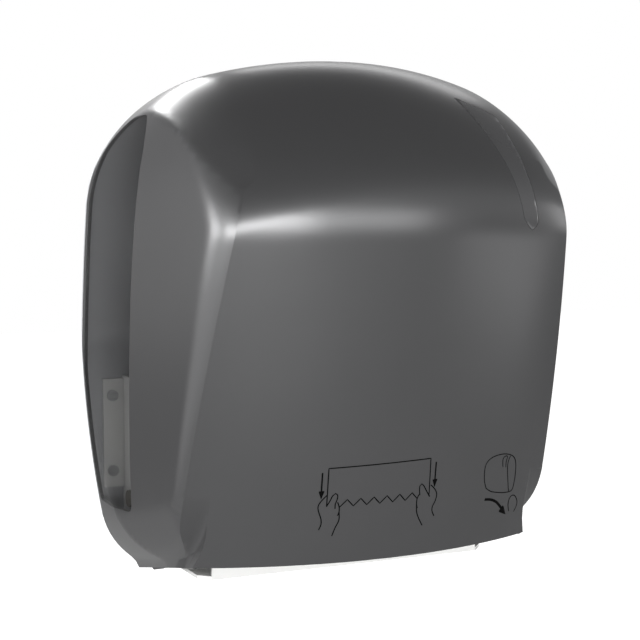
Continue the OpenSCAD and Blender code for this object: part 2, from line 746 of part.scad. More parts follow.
// Wire wound as a helix along +Z, with short straight ends
coil_rings = 8;
wire_sides = 6;
function coil_path(r, length, curls, wire) =
  let (n = curls * coil_rings, lead = 2 * wire)
  concat([[r, -lead, wire]],
    [for (i = [0 : n]) [r * cos(i * 360 / coil_rings), r * sin(i * 360 / coil_rings),
      wire + (length - 2 * wire) * i / n]],
    [[r, lead, length - wire]]);
function unit(v) = v / norm(v);
function path_way(path, i) = unit(path[min(i + 1, len(path) - 1)] - path[max(i - 1, 0)]);
function wire_ring(path, i, wire) =
  let (w = path_way(path, i), a = unit(cross(w, [0, 0, 1])), b = cross(w, a))
  [for (k = [0 : wire_sides - 1]) path[i] + wire * (a * cos(k * 360 / wire_sides) + b * sin(k * 360 / wire_sides))];
function least_gap(path, wire) = min([for (i = [0 : len(path) - 1 - coil_rings / 2])
  min([for (j = [i + coil_rings / 2 : len(path) - 1]) norm(path[i] - path[j])])]) - 2 * wire;

module coil(name, r, length, curls, wire) {
  path = coil_path(r, length, curls, wire);
  n = len(path);
  echo(str("least gap of ", name), least_gap(path, wire));
  points = [for (i = [0 : n - 1]) each wire_ring(path, i, wire)];
  function spot(i, k) = i * wire_sides + k % wire_sides;
  sides = [for (i = [0 : n - 2]) for (k = [0 : wire_sides - 1]) each [
    [spot(i, k), spot(i + 1, k), spot(i + 1, k + 1)], [spot(i, k), spot(i + 1, k + 1), spot(i, k + 1)]]];
  caps = concat(
    [for (k = [1 : wire_sides - 2]) [spot(0, 0), spot(0, k), spot(0, k + 1)]],
    [for (k = [1 : wire_sides - 2]) [spot(n - 1, 0), spot(n - 1, k + 1), spot(n - 1, k)]]);
  polyhedron(points, concat(sides, caps));
}

module pinch_spring(side) {
  length = pocket_end - pocket_wall - pocket_half - 0.6;
  color(STEEL) on_side(side) along_pinch()
    translate([(pocket_x + chassis_x) / 2, -pocket_half - 0.3, 0]) rotate([90, 0, 0])
      coil("pinch_spring", pinch_coil_r, length, pinch_curls, pinch_wire_r);
}

// Return spring between the crank's pin and the post on the left side plate
crank_r = 18;
crank_turn = 215;
crank_x = drum_x + 5;
crank_t = 2.5;
crank_pin_r = 2;
spring_x = chassis_x - 7.5;
post_d = 34;
post_z = 128;
crank_pin = [drum_d + crank_r * cos(crank_turn), drum_z + crank_r * sin(crank_turn)];
spring_span = norm([post_d, post_z] - crank_pin);
spring_tilt = atan2(crank_pin[0] - post_d, post_z - crank_pin[1]);

module spring_post() {
  on_side(LEFT) at(0, post_d, post_z) x_rod(crank_pin_r, spring_x - 4.5, chassis_x + 1);
}

module spring_crank() {
  color(BROWN) on_side(LEFT) difference() {
    union() {
      at(0, drum_d, drum_z) x_rod(shaft_r + 4, crank_x, crank_x + crank_t);
      at(0, crank_pin[0], crank_pin[1]) x_rod(4.5, crank_x, crank_x + crank_t);
      at(0, drum_d, drum_z) rotate([-crank_turn, 0, 0])
        translate([crank_x, -crank_r, -4.5]) cube([crank_t, crank_r, 9]);
      at(0, crank_pin[0], crank_pin[1]) x_rod(crank_pin_r, crank_x, spring_x + 4.5);
    }
    at(0, drum_d, drum_z) x_rod(shaft_r + run_gap / 2, crank_x - 1, crank_x + crank_t + 1);
  }
}

module return_spring() {
  seat = crank_pin_r + return_wire_r + 0.3;
  color(STEEL) on_side(LEFT) at(spring_x, crank_pin[0], crank_pin[1]) rotate([-spring_tilt, 0, 0])
    translate([0, 0, seat - return_wire_r])
      coil("return_spring", return_coil_r, spring_span - 2 * (seat - return_wire_r), return_curls, return_wire_r);
}

module bush(side) {
  color(PALE) on_side(side) at(0, drum_d, drum_z) difference() {
    union() {
      x_rod(bush_r, chassis_x - 2, chassis_out);
      x_rod(bush_r + 3, chassis_x - 2, chassis_x);
    }
    x_rod(shaft_r + run_gap, chassis_x - 3, chassis_out + 1);
  }
}

module drum_shaft() {
  color(STEEL) at(0, drum_d, drum_z) x_rod(shaft_r, -chassis_out - wheel_w + 1, chassis_out + wheel_w - 1);
}

// Turned about the drum's axis, with local -Y pointing at the given direction
module round_drum(turn) {
  at(0, drum_d, drum_z) rotate([-turn, 0, 0]) children();
}

slot_turn = pivot_turn + 46;

module drum_shell() {
  color(WHITE) difference() {
    at(0, drum_d, drum_z) x_rod(drum_r, -drum_x, drum_x);
    at(0, drum_d, drum_z) x_rod(drum_r - drum_wall, -drum_x - 1, drum_x + 1);
    round_drum(slot_turn) translate([-carrier_x - 2, -drum_r - 5, -slot_w / 2])
      cube([2 * carrier_x + 4, drum_wall + 10, slot_w]);
  }
}

strip_turns = [230, 320, 15];
// Glue under the rubber strips
glue_gap = 0.05;

module drum_strips() {
  color(RUBBER) for (turn = strip_turns) intersection() {
    difference() {
      at(0, drum_d, drum_z) x_rod(strip_r, -pinch_x, pinch_x);
      at(0, drum_d, drum_z) x_rod(drum_r + glue_gap, -drum_x, drum_x);
    }
    round_drum(turn) translate([-drum_x, -drum_r - 5, -6]) cube([2 * drum_x, 10, 12]);
  }
}

module drum_cap(side) {
  color(PALE) on_side(side) difference() {
    at(0, drum_d, drum_z) x_rod(drum_r - drum_wall - run_gap / 2, drum_x - cap_t, drum_x);
    at(0, drum_d, drum_z) x_rod(shaft_r + run_gap / 2, drum_x - cap_t - 1, drum_x + 1);
    round_drum(pivot_turn) translate([0, -pivot_r, 0])
      x_rod(pivot_pin_r + run_gap, drum_x - cap_t - 1, drum_x + 1);
  }
}

lobe_r = 6;
lobe_ring = 20;

module feed_knob() {
  from = chassis_out + side_gap;
  color(BROWN) on_side(LEFT) difference() {
    union() {
      at(0, drum_d, drum_z) x_rod(shaft_r + 5, from, from + wheel_w);
      for (i = [0 : 2]) round_drum(185 + i * 120) {
        translate([from, -lobe_ring, -4]) cube([wheel_w, lobe_ring, 8]);
        translate([0, -lobe_ring, 0]) x_rod(lobe_r, from, from + wheel_w);
      }
    }
    at(0, drum_d, drum_z) x_rod(shaft_r + run_gap / 2, from - 1, from + wheel_w - 1.5);
  }
}

wheel_grips = 12;
grip_r = 3.5;

module feed_wheel() {
  from = chassis_out + side_gap;
  color(WHITE) difference() {
    at(0, drum_d, drum_z) x_rod(wheel_r, from, from + wheel_w);
    at(0, drum_d, drum_z) x_rod(shaft_r + run_gap / 2, from - 1, from + wheel_w - 1.5);
    for (i = [0 : wheel_grips - 1]) round_drum(i * 360 / wheel_grips)
      translate([0, -wheel_r - 1, 0]) x_rod(grip_r, from - 1, from + wheel_w + 1);
  }
}

// Blade, swung about a pin inside the drum; its local +Z points at the cutting edge
module at_pivot() {
  round_drum(pivot_turn) translate([0, -pivot_r, 0]) rotate([blade_tilt, 0, 0]) children();
}

blade_tilt = 4;
carrier_r = 5;
carrier_top = 22;

module blade_carrier() {
  color(PALE) at_pivot() difference() {
    union() {
      x_rod(carrier_r, -carrier_x, carrier_x);
      translate([-carrier_x, 0, 0]) cube([2 * carrier_x, 4, carrier_top]);
    }
    x_rod(pivot_pin_r + run_gap / 2, -carrier_x - 1, carrier_x + 1);
  }
}

module blade() {
  teeth = floor(2 * (carrier_x - 2) / tooth_pitch);
  half = teeth * tooth_pitch / 2;
  color(STEEL) at_pivot() rotate([90, 0, 0]) linear_extrude(blade_t)
    polygon(concat(
      [[half, carrier_top - 14], [half, blade_reach - tooth_h]],
      [for (i = [0 : teeth - 1]) each [[half - (i + 0.5) * tooth_pitch, blade_reach],
        [half - (i + 1) * tooth_pitch, blade_reach - tooth_h]]],
      [[-half, carrier_top - 14]]));
}

lever_x = drum_x + 1;
lever_t = 2.5;
lever_l = 14;
roller_r = 4;
roller_w = 4;

module blade_pin() {
  color(STEEL) at_pivot() x_rod(pivot_pin_r, -drum_x, lever_x + lever_t);
}

module cam_lever() {
  color(PALE) at_pivot() difference() {
    union() {
      x_rod(4, lever_x, lever_x + lever_t);
      translate([lever_x, -3.5, 0]) cube([lever_t, 7, lever_l]);
      translate([0, 0, lever_l]) x_rod(3.5, lever_x, lever_x + lever_t);
      translate([0, 0, lever_l]) x_rod(1.5, lever_x, lever_x + lever_t + roller_w + 1);
    }
    x_rod(pivot_pin_r + run_gap / 2, lever_x - 1, lever_x + lever_t + 1);
  }
}

module cam_roller() {
  from = lever_x + lever_t + 0.3;
  color(RUBBER) at_pivot() translate([0, 0, lever_l]) difference() {
    x_rod(roller_r, from, from + roller_w);
    x_rod(1.5 + run_gap / 2, from - 1, from + roller_w + 1);
  }
}

// The cam's lobe just clears the roller of the folded blade
cam_throw = 2;
cam_turn = 250;
roller_way = norm([pivot_r + lever_l * sin(blade_tilt), lever_l * cos(blade_tilt)]);
cam_base_r = roller_way - roller_r - nip_gap - cam_throw;

module blade_cam() {
  from = lever_x + lever_t + 0.3;
  color(WHITE) difference() {
    union() {
      round_drum(cam_turn) translate([0, -cam_throw, 0]) x_rod(cam_base_r, from, from + roller_w + 1);
      at(0, drum_d, drum_z) x_rod(shaft_r + 4, from, chassis_x - 2);
    }
    at(0, drum_d, drum_z) x_rod(shaft_r + 1, from - 1, chassis_x);
  }
}

ear_x = lip_x + 1;
ear_w = 8;

module exit_chute() {
  chamfer = 8;
  back = lip_d - guide_t;
  color(WHITE) union() {
    at(0, 0, lip_z) linear_extrude(guide_t) polygon([[-lip_x, -lip_rear_d], [-lip_x, -lip_d + chamfer],
      [-lip_x + chamfer, -lip_d], [lip_x - chamfer, -lip_d], [lip_x, -lip_d + chamfer], [lip_x, -lip_rear_d]]);
    box(-lip_x + chamfer, lip_x - chamfer, back, lip_d, lip_z, lip_top_z);
    for (side = [LEFT, RIGHT]) on_side(side) {
      box(lip_x - chamfer - 1, ear_x + ear_w, back, lip_d, lip_z + ear_h, lip_top_z);
      box(ear_x, ear_x + ear_w, back, lip_d, lip_z + ear_h, ear_top_z);
      box(ear_x, chassis_x, back, lip_d, ear_top_z - ear_h, ear_top_z);
    }
  }
}

module front_guide() {
  front = pinch_d + pinch_r + 3;
  side = pocket_x - 2;
  low = pinch_z - guide_drop;
  top = pinch_z + guide_rise;
  color(WHITE) union() {
    x_slab(-side, side, [[front, low], [front + guide_t, low - 2], [front + guide_t, top],
      [front - 8, top + 7], [front - 10, top + 6], [front, top - 1]]);
    box(-chassis_x, chassis_x, front, front + guide_t, top - ear_h, top);
  }
}

module arm_bracket(side) {
  color(WHITE) on_side(side) difference() {
    union() {
      box(arm_x - bracket_screw_x - 5, arm_x + 9, plate_t, plate_t + flange_t, roll_z - fork_h / 2, roll_z + fork_h / 2);
      for (end = [-1, 1]) {
        low = end > 0 ? roll_z + fork_h / 2 - fork_t : roll_z - fork_h / 2;
        box(arm_x - fork_w / 2, arm_x + fork_w / 2, plate_t, arm_pin_d + 6, low, low + fork_t);
      }
    }
    at(arm_x, arm_pin_d, roll_z - fork_h / 2 - 1) cylinder(r = arm_pin_r + run_gap / 2, h = fork_h + 2);
    screw_shanks(bracket_screw_places(), screw_r + run_gap);
  }
}

module arm_pin(side) {
  color(STEEL) on_side(side)
    at(arm_x, arm_pin_d, roll_z - fork_h / 2 - 1) cylinder(r = arm_pin_r, h = fork_h + 2);
}

arm_low = roll_z - arm_h / 2;
arm_knuckle_h = 15;

module roll_arm(side) {
  in = arm_x - arm_t / 2;
  out = arm_x + arm_t / 2;
  clear_d = arm_pin_d + arm_coil_r + 2;
  color(WHITE) on_side(side) difference() {
    union() {
      x_slab(in, out, [[arm_pin_d, arm_low], [arm_pin_d, arm_low + arm_knuckle_h],
        [clear_d, arm_low + arm_knuckle_h], [clear_d, arm_low + arm_h],
        [roll_d, arm_low + arm_h], [roll_d, arm_low]]);
      at(0, roll_d, roll_z) x_rod(arm_h / 2, in, out);
      at(arm_x, arm_pin_d, arm_low) cylinder(r = arm_pin_r + 3, h = arm_knuckle_h);
    }
    at(arm_x, arm_pin_d, arm_low - 1) cylinder(r = arm_pin_r + run_gap, h = arm_h);
    at(0, roll_d, roll_z) x_rod(4 + run_gap, in - 1, out + 1);
  }
}

module arm_spring(side) {
  low = arm_low + arm_knuckle_h + 0.4;
  length = roll_z + fork_h / 2 - fork_t - 0.4 - low;
  color(STEEL) on_side(side) at(arm_x, arm_pin_d, low)
    coil("arm_spring", arm_coil_r, length, arm_curls, arm_wire_r);
}

module core_hub(side) {
  face = roll_w / 2;
  arm_in = arm_x - arm_t / 2;
  arm_out = arm_x + arm_t / 2;
  color(WHITE) on_side(side) at(0, roll_d, roll_z) rotate([0, 90, 0]) rotate_extrude()
    polygon([[0, face - hub_l], [hub_r - 2, face - hub_l], [hub_r, face - hub_l + 3], [hub_r, face],
      [hub_r + 5, face], [hub_r + 5, face + 2], [7, face + 2], [7, arm_in - 0.4], [4, arm_in - 0.4],
      [4, arm_out + 0.4], [6.5, arm_out + 0.4], [6.5, arm_out + 2], [0, arm_out + 2]]);
}

module screws(places) {
  color(STEEL) {
    screw_shanks(places, screw_r);
    for (p = places) at(p[0], plate_t + flange_t, p[1]) rotate([90, 0, 0])
      cylinder(r = screw_head_r, h = screw_head_t);
  }
}

back_plate();
chassis(LEFT);  // chassis_left
chassis(RIGHT);  // chassis_right
exit_chute();
front_guide();
arm_bracket(LEFT);  // arm_bracket_left
arm_bracket(RIGHT);  // arm_bracket_right
arm_pin(LEFT);  // arm_pin_left
arm_pin(RIGHT);  // arm_pin_right
arm_spring(LEFT);  // arm_spring_left
arm_spring(RIGHT);  // arm_spring_right
roll_arm(LEFT);  // roll_arm_left
roll_arm(RIGHT);  // roll_arm_right
core_hub(LEFT);  // core_hub_left
core_hub(RIGHT);  // core_hub_right
drum_shell();
drum_cap(LEFT);  // drum_cap_left
drum_cap(RIGHT);  // drum_cap_right
drum_strips();
drum_shaft();
bush(LEFT);  // bush_left
bush(RIGHT);  // bush_right
feed_knob();
feed_wheel();
spring_crank();
return_spring();
blade_carrier();
blade();
blade_pin();
cam_lever();
cam_roller();
blade_cam();
pinch_roller();
pinch_shaft();
pinch_block(LEFT);  // pinch_block_left
pinch_block(RIGHT);  // pinch_block_right
pinch_spring(LEFT);  // pinch_spring_left
pinch_spring(RIGHT);  // pinch_spring_right
hinge_pin(LEFT);  // hinge_pin_left
hinge_pin(RIGHT);  // hinge_pin_right
lock_strike();
front_cover();
side_window(LEFT);  // side_window_left
side_window(RIGHT);  // side_window_right
level_window();
hinge_bracket(LEFT);  // hinge_bracket_left
hinge_bracket(RIGHT);  // hinge_bracket_right
lock_housing();
lock_barrel();
lock_cam();
screws(flange_screws());  // chassis_screws
screws(bracket_screw_places());  // bracket_screws
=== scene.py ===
"""Looks of a wall-mounted roll towel dispenser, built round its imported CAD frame."""
import json
import math

import bpy
import numpy as np
from bpy.props import FloatProperty, FloatVectorProperty, IntProperty, PointerProperty
from bpy.types import Operator, Panel, PropertyGroup
from mathutils import Matrix, Vector


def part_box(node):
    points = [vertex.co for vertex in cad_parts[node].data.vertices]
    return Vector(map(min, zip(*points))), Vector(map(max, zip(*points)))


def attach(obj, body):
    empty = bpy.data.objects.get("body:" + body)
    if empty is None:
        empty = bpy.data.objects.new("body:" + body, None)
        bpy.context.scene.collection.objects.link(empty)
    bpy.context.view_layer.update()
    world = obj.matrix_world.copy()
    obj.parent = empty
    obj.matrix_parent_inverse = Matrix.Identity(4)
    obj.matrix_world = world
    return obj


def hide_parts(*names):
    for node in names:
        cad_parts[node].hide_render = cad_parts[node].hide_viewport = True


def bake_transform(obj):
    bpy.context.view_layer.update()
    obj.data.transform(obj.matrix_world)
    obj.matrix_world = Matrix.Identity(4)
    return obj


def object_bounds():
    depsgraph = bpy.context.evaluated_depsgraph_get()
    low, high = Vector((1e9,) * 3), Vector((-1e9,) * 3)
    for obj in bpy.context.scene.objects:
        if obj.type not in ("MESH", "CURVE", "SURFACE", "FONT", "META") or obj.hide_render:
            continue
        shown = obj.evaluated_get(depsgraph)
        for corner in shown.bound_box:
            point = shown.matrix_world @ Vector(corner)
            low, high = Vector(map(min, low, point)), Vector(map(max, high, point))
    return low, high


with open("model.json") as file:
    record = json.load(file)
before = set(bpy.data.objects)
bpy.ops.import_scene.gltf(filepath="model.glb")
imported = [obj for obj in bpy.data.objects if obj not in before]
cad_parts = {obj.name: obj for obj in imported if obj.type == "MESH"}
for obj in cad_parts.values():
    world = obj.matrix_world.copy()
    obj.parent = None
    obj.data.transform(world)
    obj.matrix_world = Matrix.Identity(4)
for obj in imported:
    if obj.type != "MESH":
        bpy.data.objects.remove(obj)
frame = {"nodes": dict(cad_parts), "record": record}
CAD_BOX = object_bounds()

bl_info = {
    "name": "Roll towel dispenser",
    "version": (1, 0, 0),
    "blender": (4, 5, 0),
    "location": "View3D > Sidebar > Dispenser",
    "description": "Builds the moulded cover, panes, marks, springs and finishes of a roll towel dispenser",
    "category": "Object",
}

NODES = frame["nodes"]
# Height of the wall screws' middle above the foot of the arch
FOOT = 0.215
# Least distance that tells two surfaces apart
TIE = 1e-5
# Height of the point inside the cover from which its surface is cast, and the furthest cast
EYE_Z = 0.190
CAST_MOST = 0.45
# Half widths between which the lower front corner lies, and depths between which the front face lies
CORNER_RANGE = (0.090, 0.140)
DEPTH_RANGE = (0.100, 0.300)
# Angles between which the lower edge, the skirt's edge and the crease are looked for, in degrees
EDGE_TURNS = (-85, -20)
SKIRT_OPENINGS = (10, 80)
CREASE_OPENINGS = (12, 75)
# Share of the flare's height beyond which it grows no further
FLARE_MOST = 1.25
# How strongly the mesh rings crowd together on either side of the crease
FRONT_CROWD = 1.35
SIDE_CROWD = 1.15
# Longest move of a mesh point onto the side panel's edge, as a share of its cell
PULL_MOST = 0.6
# Reach of the tools that cut the windows: past the cover's faces, in from its side, and the depth they start from
CUT_PAST = 0.010
CUT_IN = 0.060
LEVEL_CUT_D = 0.110
# Roundings of the windows' corners
SIDE_CORNER_R = 0.006
LEVEL_CORNER_R = 0.003
# Room round the lock barrel, and the height of the tool that cuts its hole
KEYHOLE_GAP = 0.0005
KEYHOLE_H = 0.08
# Height of the finishes' unevenness at full strength
BUMP_H = 0.0002


def length(name, text, value):
    return FloatProperty(name=name, description=text, default=value, unit="LENGTH", precision=5)


def share(name, text, value):
    return FloatProperty(name=name, description=text, default=value, precision=4)


def count(name, text, value):
    return IntProperty(name=name, description=text, default=value)


def tint(name, text, value):
    return FloatVectorProperty(name=name, description=text, default=value, size=3, subtype="COLOR", min=0, max=1)


class CoverSizes(PropertyGroup):
    """Sizes of the moulded cover, with depths from the wall and heights from the foot of the arch"""

    arch_w: length("Arch width", "Width of the arched outline at its widest", 0.330)
    arch_h: length("Arch height", "Height of the top of the arch", 0.371)
    top_r: length("Top radius", "Radius of the arch over the top", 0.379)
    side_r: length("Side radius", "Radius of the arch along the sides", 0.826)
    side_z: length("Widest height", "Height at which the arch is widest", 0.202)
    shoulder_r: length("Shoulder", "Rounding between the top and the sides", 0.058)
    rear_draw: length("Rear draw", "How far the top draws in at the rear edge", 0.0073)
    side_draw: share("Side draw", "Share of the rear draw on the sides", 0.56)
    draw_d: length("Draw depth", "Depth at which the rear draw ends", 0.082)
    front_d: length("Front depth", "Depth of the front at its bend", 0.219)
    bend_z: length("Bend height", "Height of the bend of the front", 0.278)
    bend_soft: length("Bend softness", "Softness of the bend of the front", 0.018)
    upper_lean: share("Upper lean", "Slope of the front above the bend, back per unit up", 0.44)
    skirt_d: length("Foot depth", "Depth of the front at its foot", 0.158)
    foot_z: length("Foot height", "Height of the front's foot", 0.0278)
    recede: share("Recede", "How evenly the front recedes from the bend to the skirt", 1.13)
    bow_r: length("Bow radius", "Radius of the front's bow across the width", 0.352)
    front_r: length("Front rounding", "Rounding between the arch and the front", 0.092)
    front_least: length("Least front rounding", "Least rounding between the sides and the front", 0.030)
    ease_z: length("Ease height", "Height below which the rounding of the sides shrinks", 0.305)
    ease_r: length("Ease radius", "Radius of the curve by which that rounding shrinks", 0.020)
    panel_x: length("Panel half width", "Half width of the side panel's plane at the wall", 0.1624)
    panel_slope: share("Panel slope", "Inward slope of the side panel per unit of depth", 0.173)
    panel_r: length("Panel radius", "Radius of the side panel from top to bottom", 2.052)
    panel_z: length("Panel height", "Height at which the side panel stands widest", 0.127)
    crown_z: length("Crown height", "Height above which the side panel leans further in", 0.270)
    crown_r: length("Crown radius", "Radius of that lean at the wall", 0.083)
    crown_fade: length("Crown fade", "Depth over which that lean fades", 0.077)
    fold_r: length("Fold rounding", "Rounding between the side panel and the front, at its widest", 0.0363)
    fold_taper: share("Fold taper", "Loss of the fold's rounding per unit of height on the way down", 0.125)
    fold_z: length("Fold height", "Height at which the fold is widest", 0.267)
    fold_least: length("Least fold", "Least rounding of the fold", 0.003)
    fold_step: share("Fold step", "Step from the front to the fold, as a share of its rounding", 0.448)
    step_z: length("Step height", "Height at which that step has faded out", 0.312)
    step_fade: length("Step fade", "Height over which the step fades", 0.060)
    under_z: length("Underside height", "Height of the underside at the wall", 0.0027)
    under_slope: share("Underside slope", "Rise of the underside per unit of depth", 0.26)
    corner_r: length("Corner rounding", "Rounding of the bottom corners", 0.047)
    skirt_w: length("Skirt width", "Width between the skirt's sides", 0.240)
    flare_h: length("Flare height", "Height over which the skirt's sides flare out", 0.022)
    flare_r: length("Flare radius", "Radius of that flare", 0.040)
    flare_d: length("Flare depth", "Depth at which the flare starts", 0.040)
    flare_fade: length("Flare fade", "Depth over which the flare grows", 0.070)
    skirt_z: length("Skirt height", "Height of the skirt's lower edge", 0.0375)
    edge_slope: share("Edge slope", "Drop of the lower edge per unit of depth, from the skirt to the wall", 0.225)
    scoop_r: length("Scoop", "Hollow between the bottom corner and the skirt", 0.008)
    wall: length("Wall", "Wall of the cover", 0.0025)
    back_d: length("Rear edge", "Depth of the cover's rear edge", 0.0055)
    ring_z: length("Ring height", "Height at which the mesh's crease ring crosses the front", 0.302)
    arch_columns: count("Arch columns", "Columns of the mesh round the arch", 224)
    skirt_columns: count("Skirt columns", "Columns of the mesh over the skirt", 72)
    front_rings: count("Front rings", "Rings of the mesh from the middle to the crease", 52)
    side_rings: count("Side rings", "Rings of the mesh from the crease to the rear", 52)


class WindowSizes(PropertyGroup):
    """Sizes of the smoked panes"""

    rear_d: length("Rear edge", "Depth of the side window's rear edge", 0.009)
    front_d: length("Front edge", "Depth of the side window's front edge", 0.0755)
    low_z: length("Lower edge", "Height of the side window's lower edge", 0.065)
    top_z: length("Top", "Height of the side window's top", 0.333)
    gap: length("Gap", "Gap between a pane and its opening", 0.00025)
    bevel: length("Bevel", "Width of the bevel round a pane's edges", 0.0005)
    level_tip_x: length("Level tip", "Distance of the level window's tip from the middle", 0.0555)
    level_foot_x: length("Level foot", "Distance of the level window's inner foot from the middle", 0.0775)
    level_x: length("Level edge", "Distance of the level window's outer edge from the middle", 0.085)
    level_low_z: length("Level lower end", "Height of the level window's lower end", 0.2555)
    level_top_z: length("Level tip height", "Height of the level window's tip", 0.3450)


class FinishColours(PropertyGroup):
    """Colours of the finishes"""

    grey: tint("Metallic grey", "Colour of the moulded cover", (0.082, 0.082, 0.084))
    smoke: tint("Smoke", "Colour of the smoked side panes", (0.020, 0.020, 0.021))
    # The level pane's colour is partly its own smoke and partly painted shade: it stands in for the unlit inside
    # seen through the window
    level: tint("Level smoke and painted shade", "Colour of the level pane over its dark inside", (0.070, 0.070, 0.072))
    white: tint("White", "Colour of the white mouldings", (0.80, 0.80, 0.785))
    pale: tint("Pale grey", "Colour of the pale mouldings", (0.55, 0.56, 0.575))
    brown: tint("Brown grey", "Colour of the knob and the crank", (0.165, 0.150, 0.122))
    steel: tint("Steel", "Colour of the ground steel", (0.55, 0.56, 0.57))
    rubber: tint("Rubber", "Colour of the rubber", (0.022, 0.022, 0.024))
    ink: tint("Ink", "Colour of the printed marks", (0.001, 0.001, 0.001))
    floor: tint("Floor", "Colour of the floor", (0.56, 0.56, 0.56))


def round_max(a, b, r):
    """The edge between two faces, rounded"""
    return np.minimum(-r, np.maximum(a, b)) + np.hypot(np.maximum(r + a, 0), np.maximum(r + b, 0))


def soft_min(a, b, r):
    """The hollow between two faces, filled softly"""
    near = np.maximum(r - abs(a - b), 0) / r
    return np.minimum(a, b) - near * near * r / 4


def soft_max(a, b, r):
    """The bend between two faces, softened"""
    return -soft_min(-a, -b, r)


class CoverForm:
    """The cover's outer surface, as distances of points outside it"""

    def __init__(self, sizes):
        self.s = sizes
        self.eye = np.array([0.0, sizes.back_d, EYE_Z])
        self.corner = self.find_corner()
        way = self.corner - self.eye
        self.corner_open = math.acos(way[1] / np.linalg.norm(way))
        self.corner_turn = math.atan2(way[2], way[0])

    def bow(self, x, d):
        axis_d = self.s.bow_r - self.s.front_d
        return np.hypot(x, d + axis_d) - axis_d

    def upper(self, x, d, z):
        s = self.s
        return (self.bow(x, d) - s.front_d + s.upper_lean * (z - s.bend_z)) / math.hypot(1, s.upper_lean)

    def slope(self, z):
        """Depth of the front below its bend, in the middle"""
        s = self.s
        rise = (z - s.foot_z) / (s.bend_z - s.foot_z)
        return s.skirt_d + (s.front_d - s.skirt_d) * (s.recede * rise + (1 - s.recede) * rise * rise)

    def lower(self, x, d, z):
        return self.bow(x, d) - self.slope(z)

    def front(self, x, d, z):
        return soft_max(self.upper(x, d, z), self.lower(x, d, z), self.s.bend_soft)

    def draw(self, d):
        return self.s.rear_draw * np.maximum(1 - d / self.s.draw_d, 0) ** 2

    def over(self, x, d, z):
        s = self.s
        return np.hypot(x, z - (s.arch_h - s.top_r)) - s.top_r + self.draw(d)

    def face(self, x, d, z):
        """The front with its rounding into the top"""
        return round_max(self.over(x, d, z), self.front(x, d, z), self.s.front_r)

    def arch(self, x, d, z):
        s = self.s
        flank = np.hypot(abs(x) - (s.arch_w / 2 - s.side_r), z - s.side_z) - s.side_r + s.side_draw * self.draw(d)
        side_front_r = np.maximum(s.front_r - np.maximum(s.ease_z - z, 0) ** 2 / (2 * s.ease_r), s.front_least)
        sides = round_max(round_max(self.over(x, d, z), flank, s.shoulder_r), self.upper(x, d, z), side_front_r)
        return np.maximum(sides, self.face(x, d, z))

    def side_panel(self, x, d, z):
        s = self.s
        bulge = (z - s.panel_z) ** 2 / (2 * s.panel_r)
        crown = np.maximum(z - s.crown_z, 0) ** 2 / (2 * s.crown_r) * np.exp(-d / s.crown_fade)
        panel = (abs(x) - (s.panel_x - s.panel_slope * d - bulge - crown)) / math.hypot(1, s.panel_slope)
        fold = np.clip(s.fold_r - s.fold_taper * (s.fold_z - z), s.fold_least, s.fold_r)
        fade = np.clip((s.step_z - z) / s.step_fade, 0, 1)
        step = s.fold_step * fold * fade * fade * (3 - 2 * fade)
        return round_max(panel, self.front(x, d, z) - step, fold)

    def pillow(self, x, d, z):
        s = self.s
        whole = np.maximum(self.arch(x, d, z), self.side_panel(x, d, z))
        under = s.under_z + s.under_slope * d - z
        cut = round_max(whole, under, s.corner_r)
        flare = np.clip(s.flare_h + under, 0, FLARE_MOST * s.flare_h) ** 2 / (2 * s.flare_r)
        flare = flare * np.clip((d - s.flare_d) / s.flare_fade, 0, 1)
        skirt = np.maximum(whole, abs(x) - s.skirt_w / 2 - flare)
        hollow = np.maximum(s.scoop_r * (1 - np.exp(2 * (whole - cut) / s.scoop_r)), TIE)
        return soft_min(cut, skirt, hollow)

    def gap(self, x, d, z):
        return np.maximum(self.pillow(x, d, z), self.front(x, d, z))

    def find_corner(self):
        """Lower front corner of the cover"""
        s = self.s
        axis_d = s.bow_r - s.front_d

        def foot(x):
            return np.array([x, math.sqrt((self.slope(s.skirt_z) + axis_d) ** 2 - x * x) - axis_d, s.skirt_z])

        low, high = CORNER_RANGE
        for _ in range(40):
            middle = (low + high) / 2
            if self.pillow(*foot(middle)) > TIE:
                high = middle
            else:
                low = middle
        return foot(low)

    def cast(self, turn, opening):
        """Points where rays from the eye point meet the surface"""
        turn, opening = np.broadcast_arrays(np.asarray(turn, float), np.asarray(opening, float))
        way = np.stack([np.cos(turn) * np.sin(opening), np.cos(opening), np.sin(turn) * np.sin(opening)], -1)
        low = np.zeros(turn.shape)
        high = np.full(turn.shape, CAST_MOST)
        for _ in range(36):
            middle = (low + high) / 2
            p = self.eye + middle[..., None] * way
            outside = self.gap(p[..., 0], p[..., 1], p[..., 2]) > 0
            high = np.where(outside, middle, high)
            low = np.where(outside, low, middle)
        return self.eye + low[..., None] * way

    def below_edge(self, p):
        s = self.s
        return p[..., 2] < s.skirt_z - np.maximum(self.corner[1] - p[..., 1], 0) * s.edge_slope

    def on_front(self, p):
        x, d, z = p[..., 0], p[..., 1], p[..., 2]
        return (self.face(x, d, z) > self.pillow(x, d, z) - TIE) & (z < self.s.ring_z)

    @staticmethod
    def split(test, degrees, shape):
        """Where a test along a range of angles turns from true to false"""
        low, high = (np.full(shape, math.radians(limit)) for limit in degrees)
        for _ in range(26):
            middle = (low + high) / 2
            true = test(middle)
            low = np.where(true, middle, low)
            high = np.where(true, high, middle)
        return (low + high) / 2

    def edge_turn(self, opening):
        test = lambda turn: self.below_edge(self.cast(turn, opening))
        return self.split(test, EDGE_TURNS, opening.shape)

    def skirt_open(self, turn):
        test = lambda opening: ~self.below_edge(self.cast(turn, opening))
        return self.split(test, SKIRT_OPENINGS, turn.shape)

    def crease_open(self, turn):
        test = lambda opening: self.on_front(self.cast(turn, opening))
        return self.split(test, CREASE_OPENINGS, turn.shape)

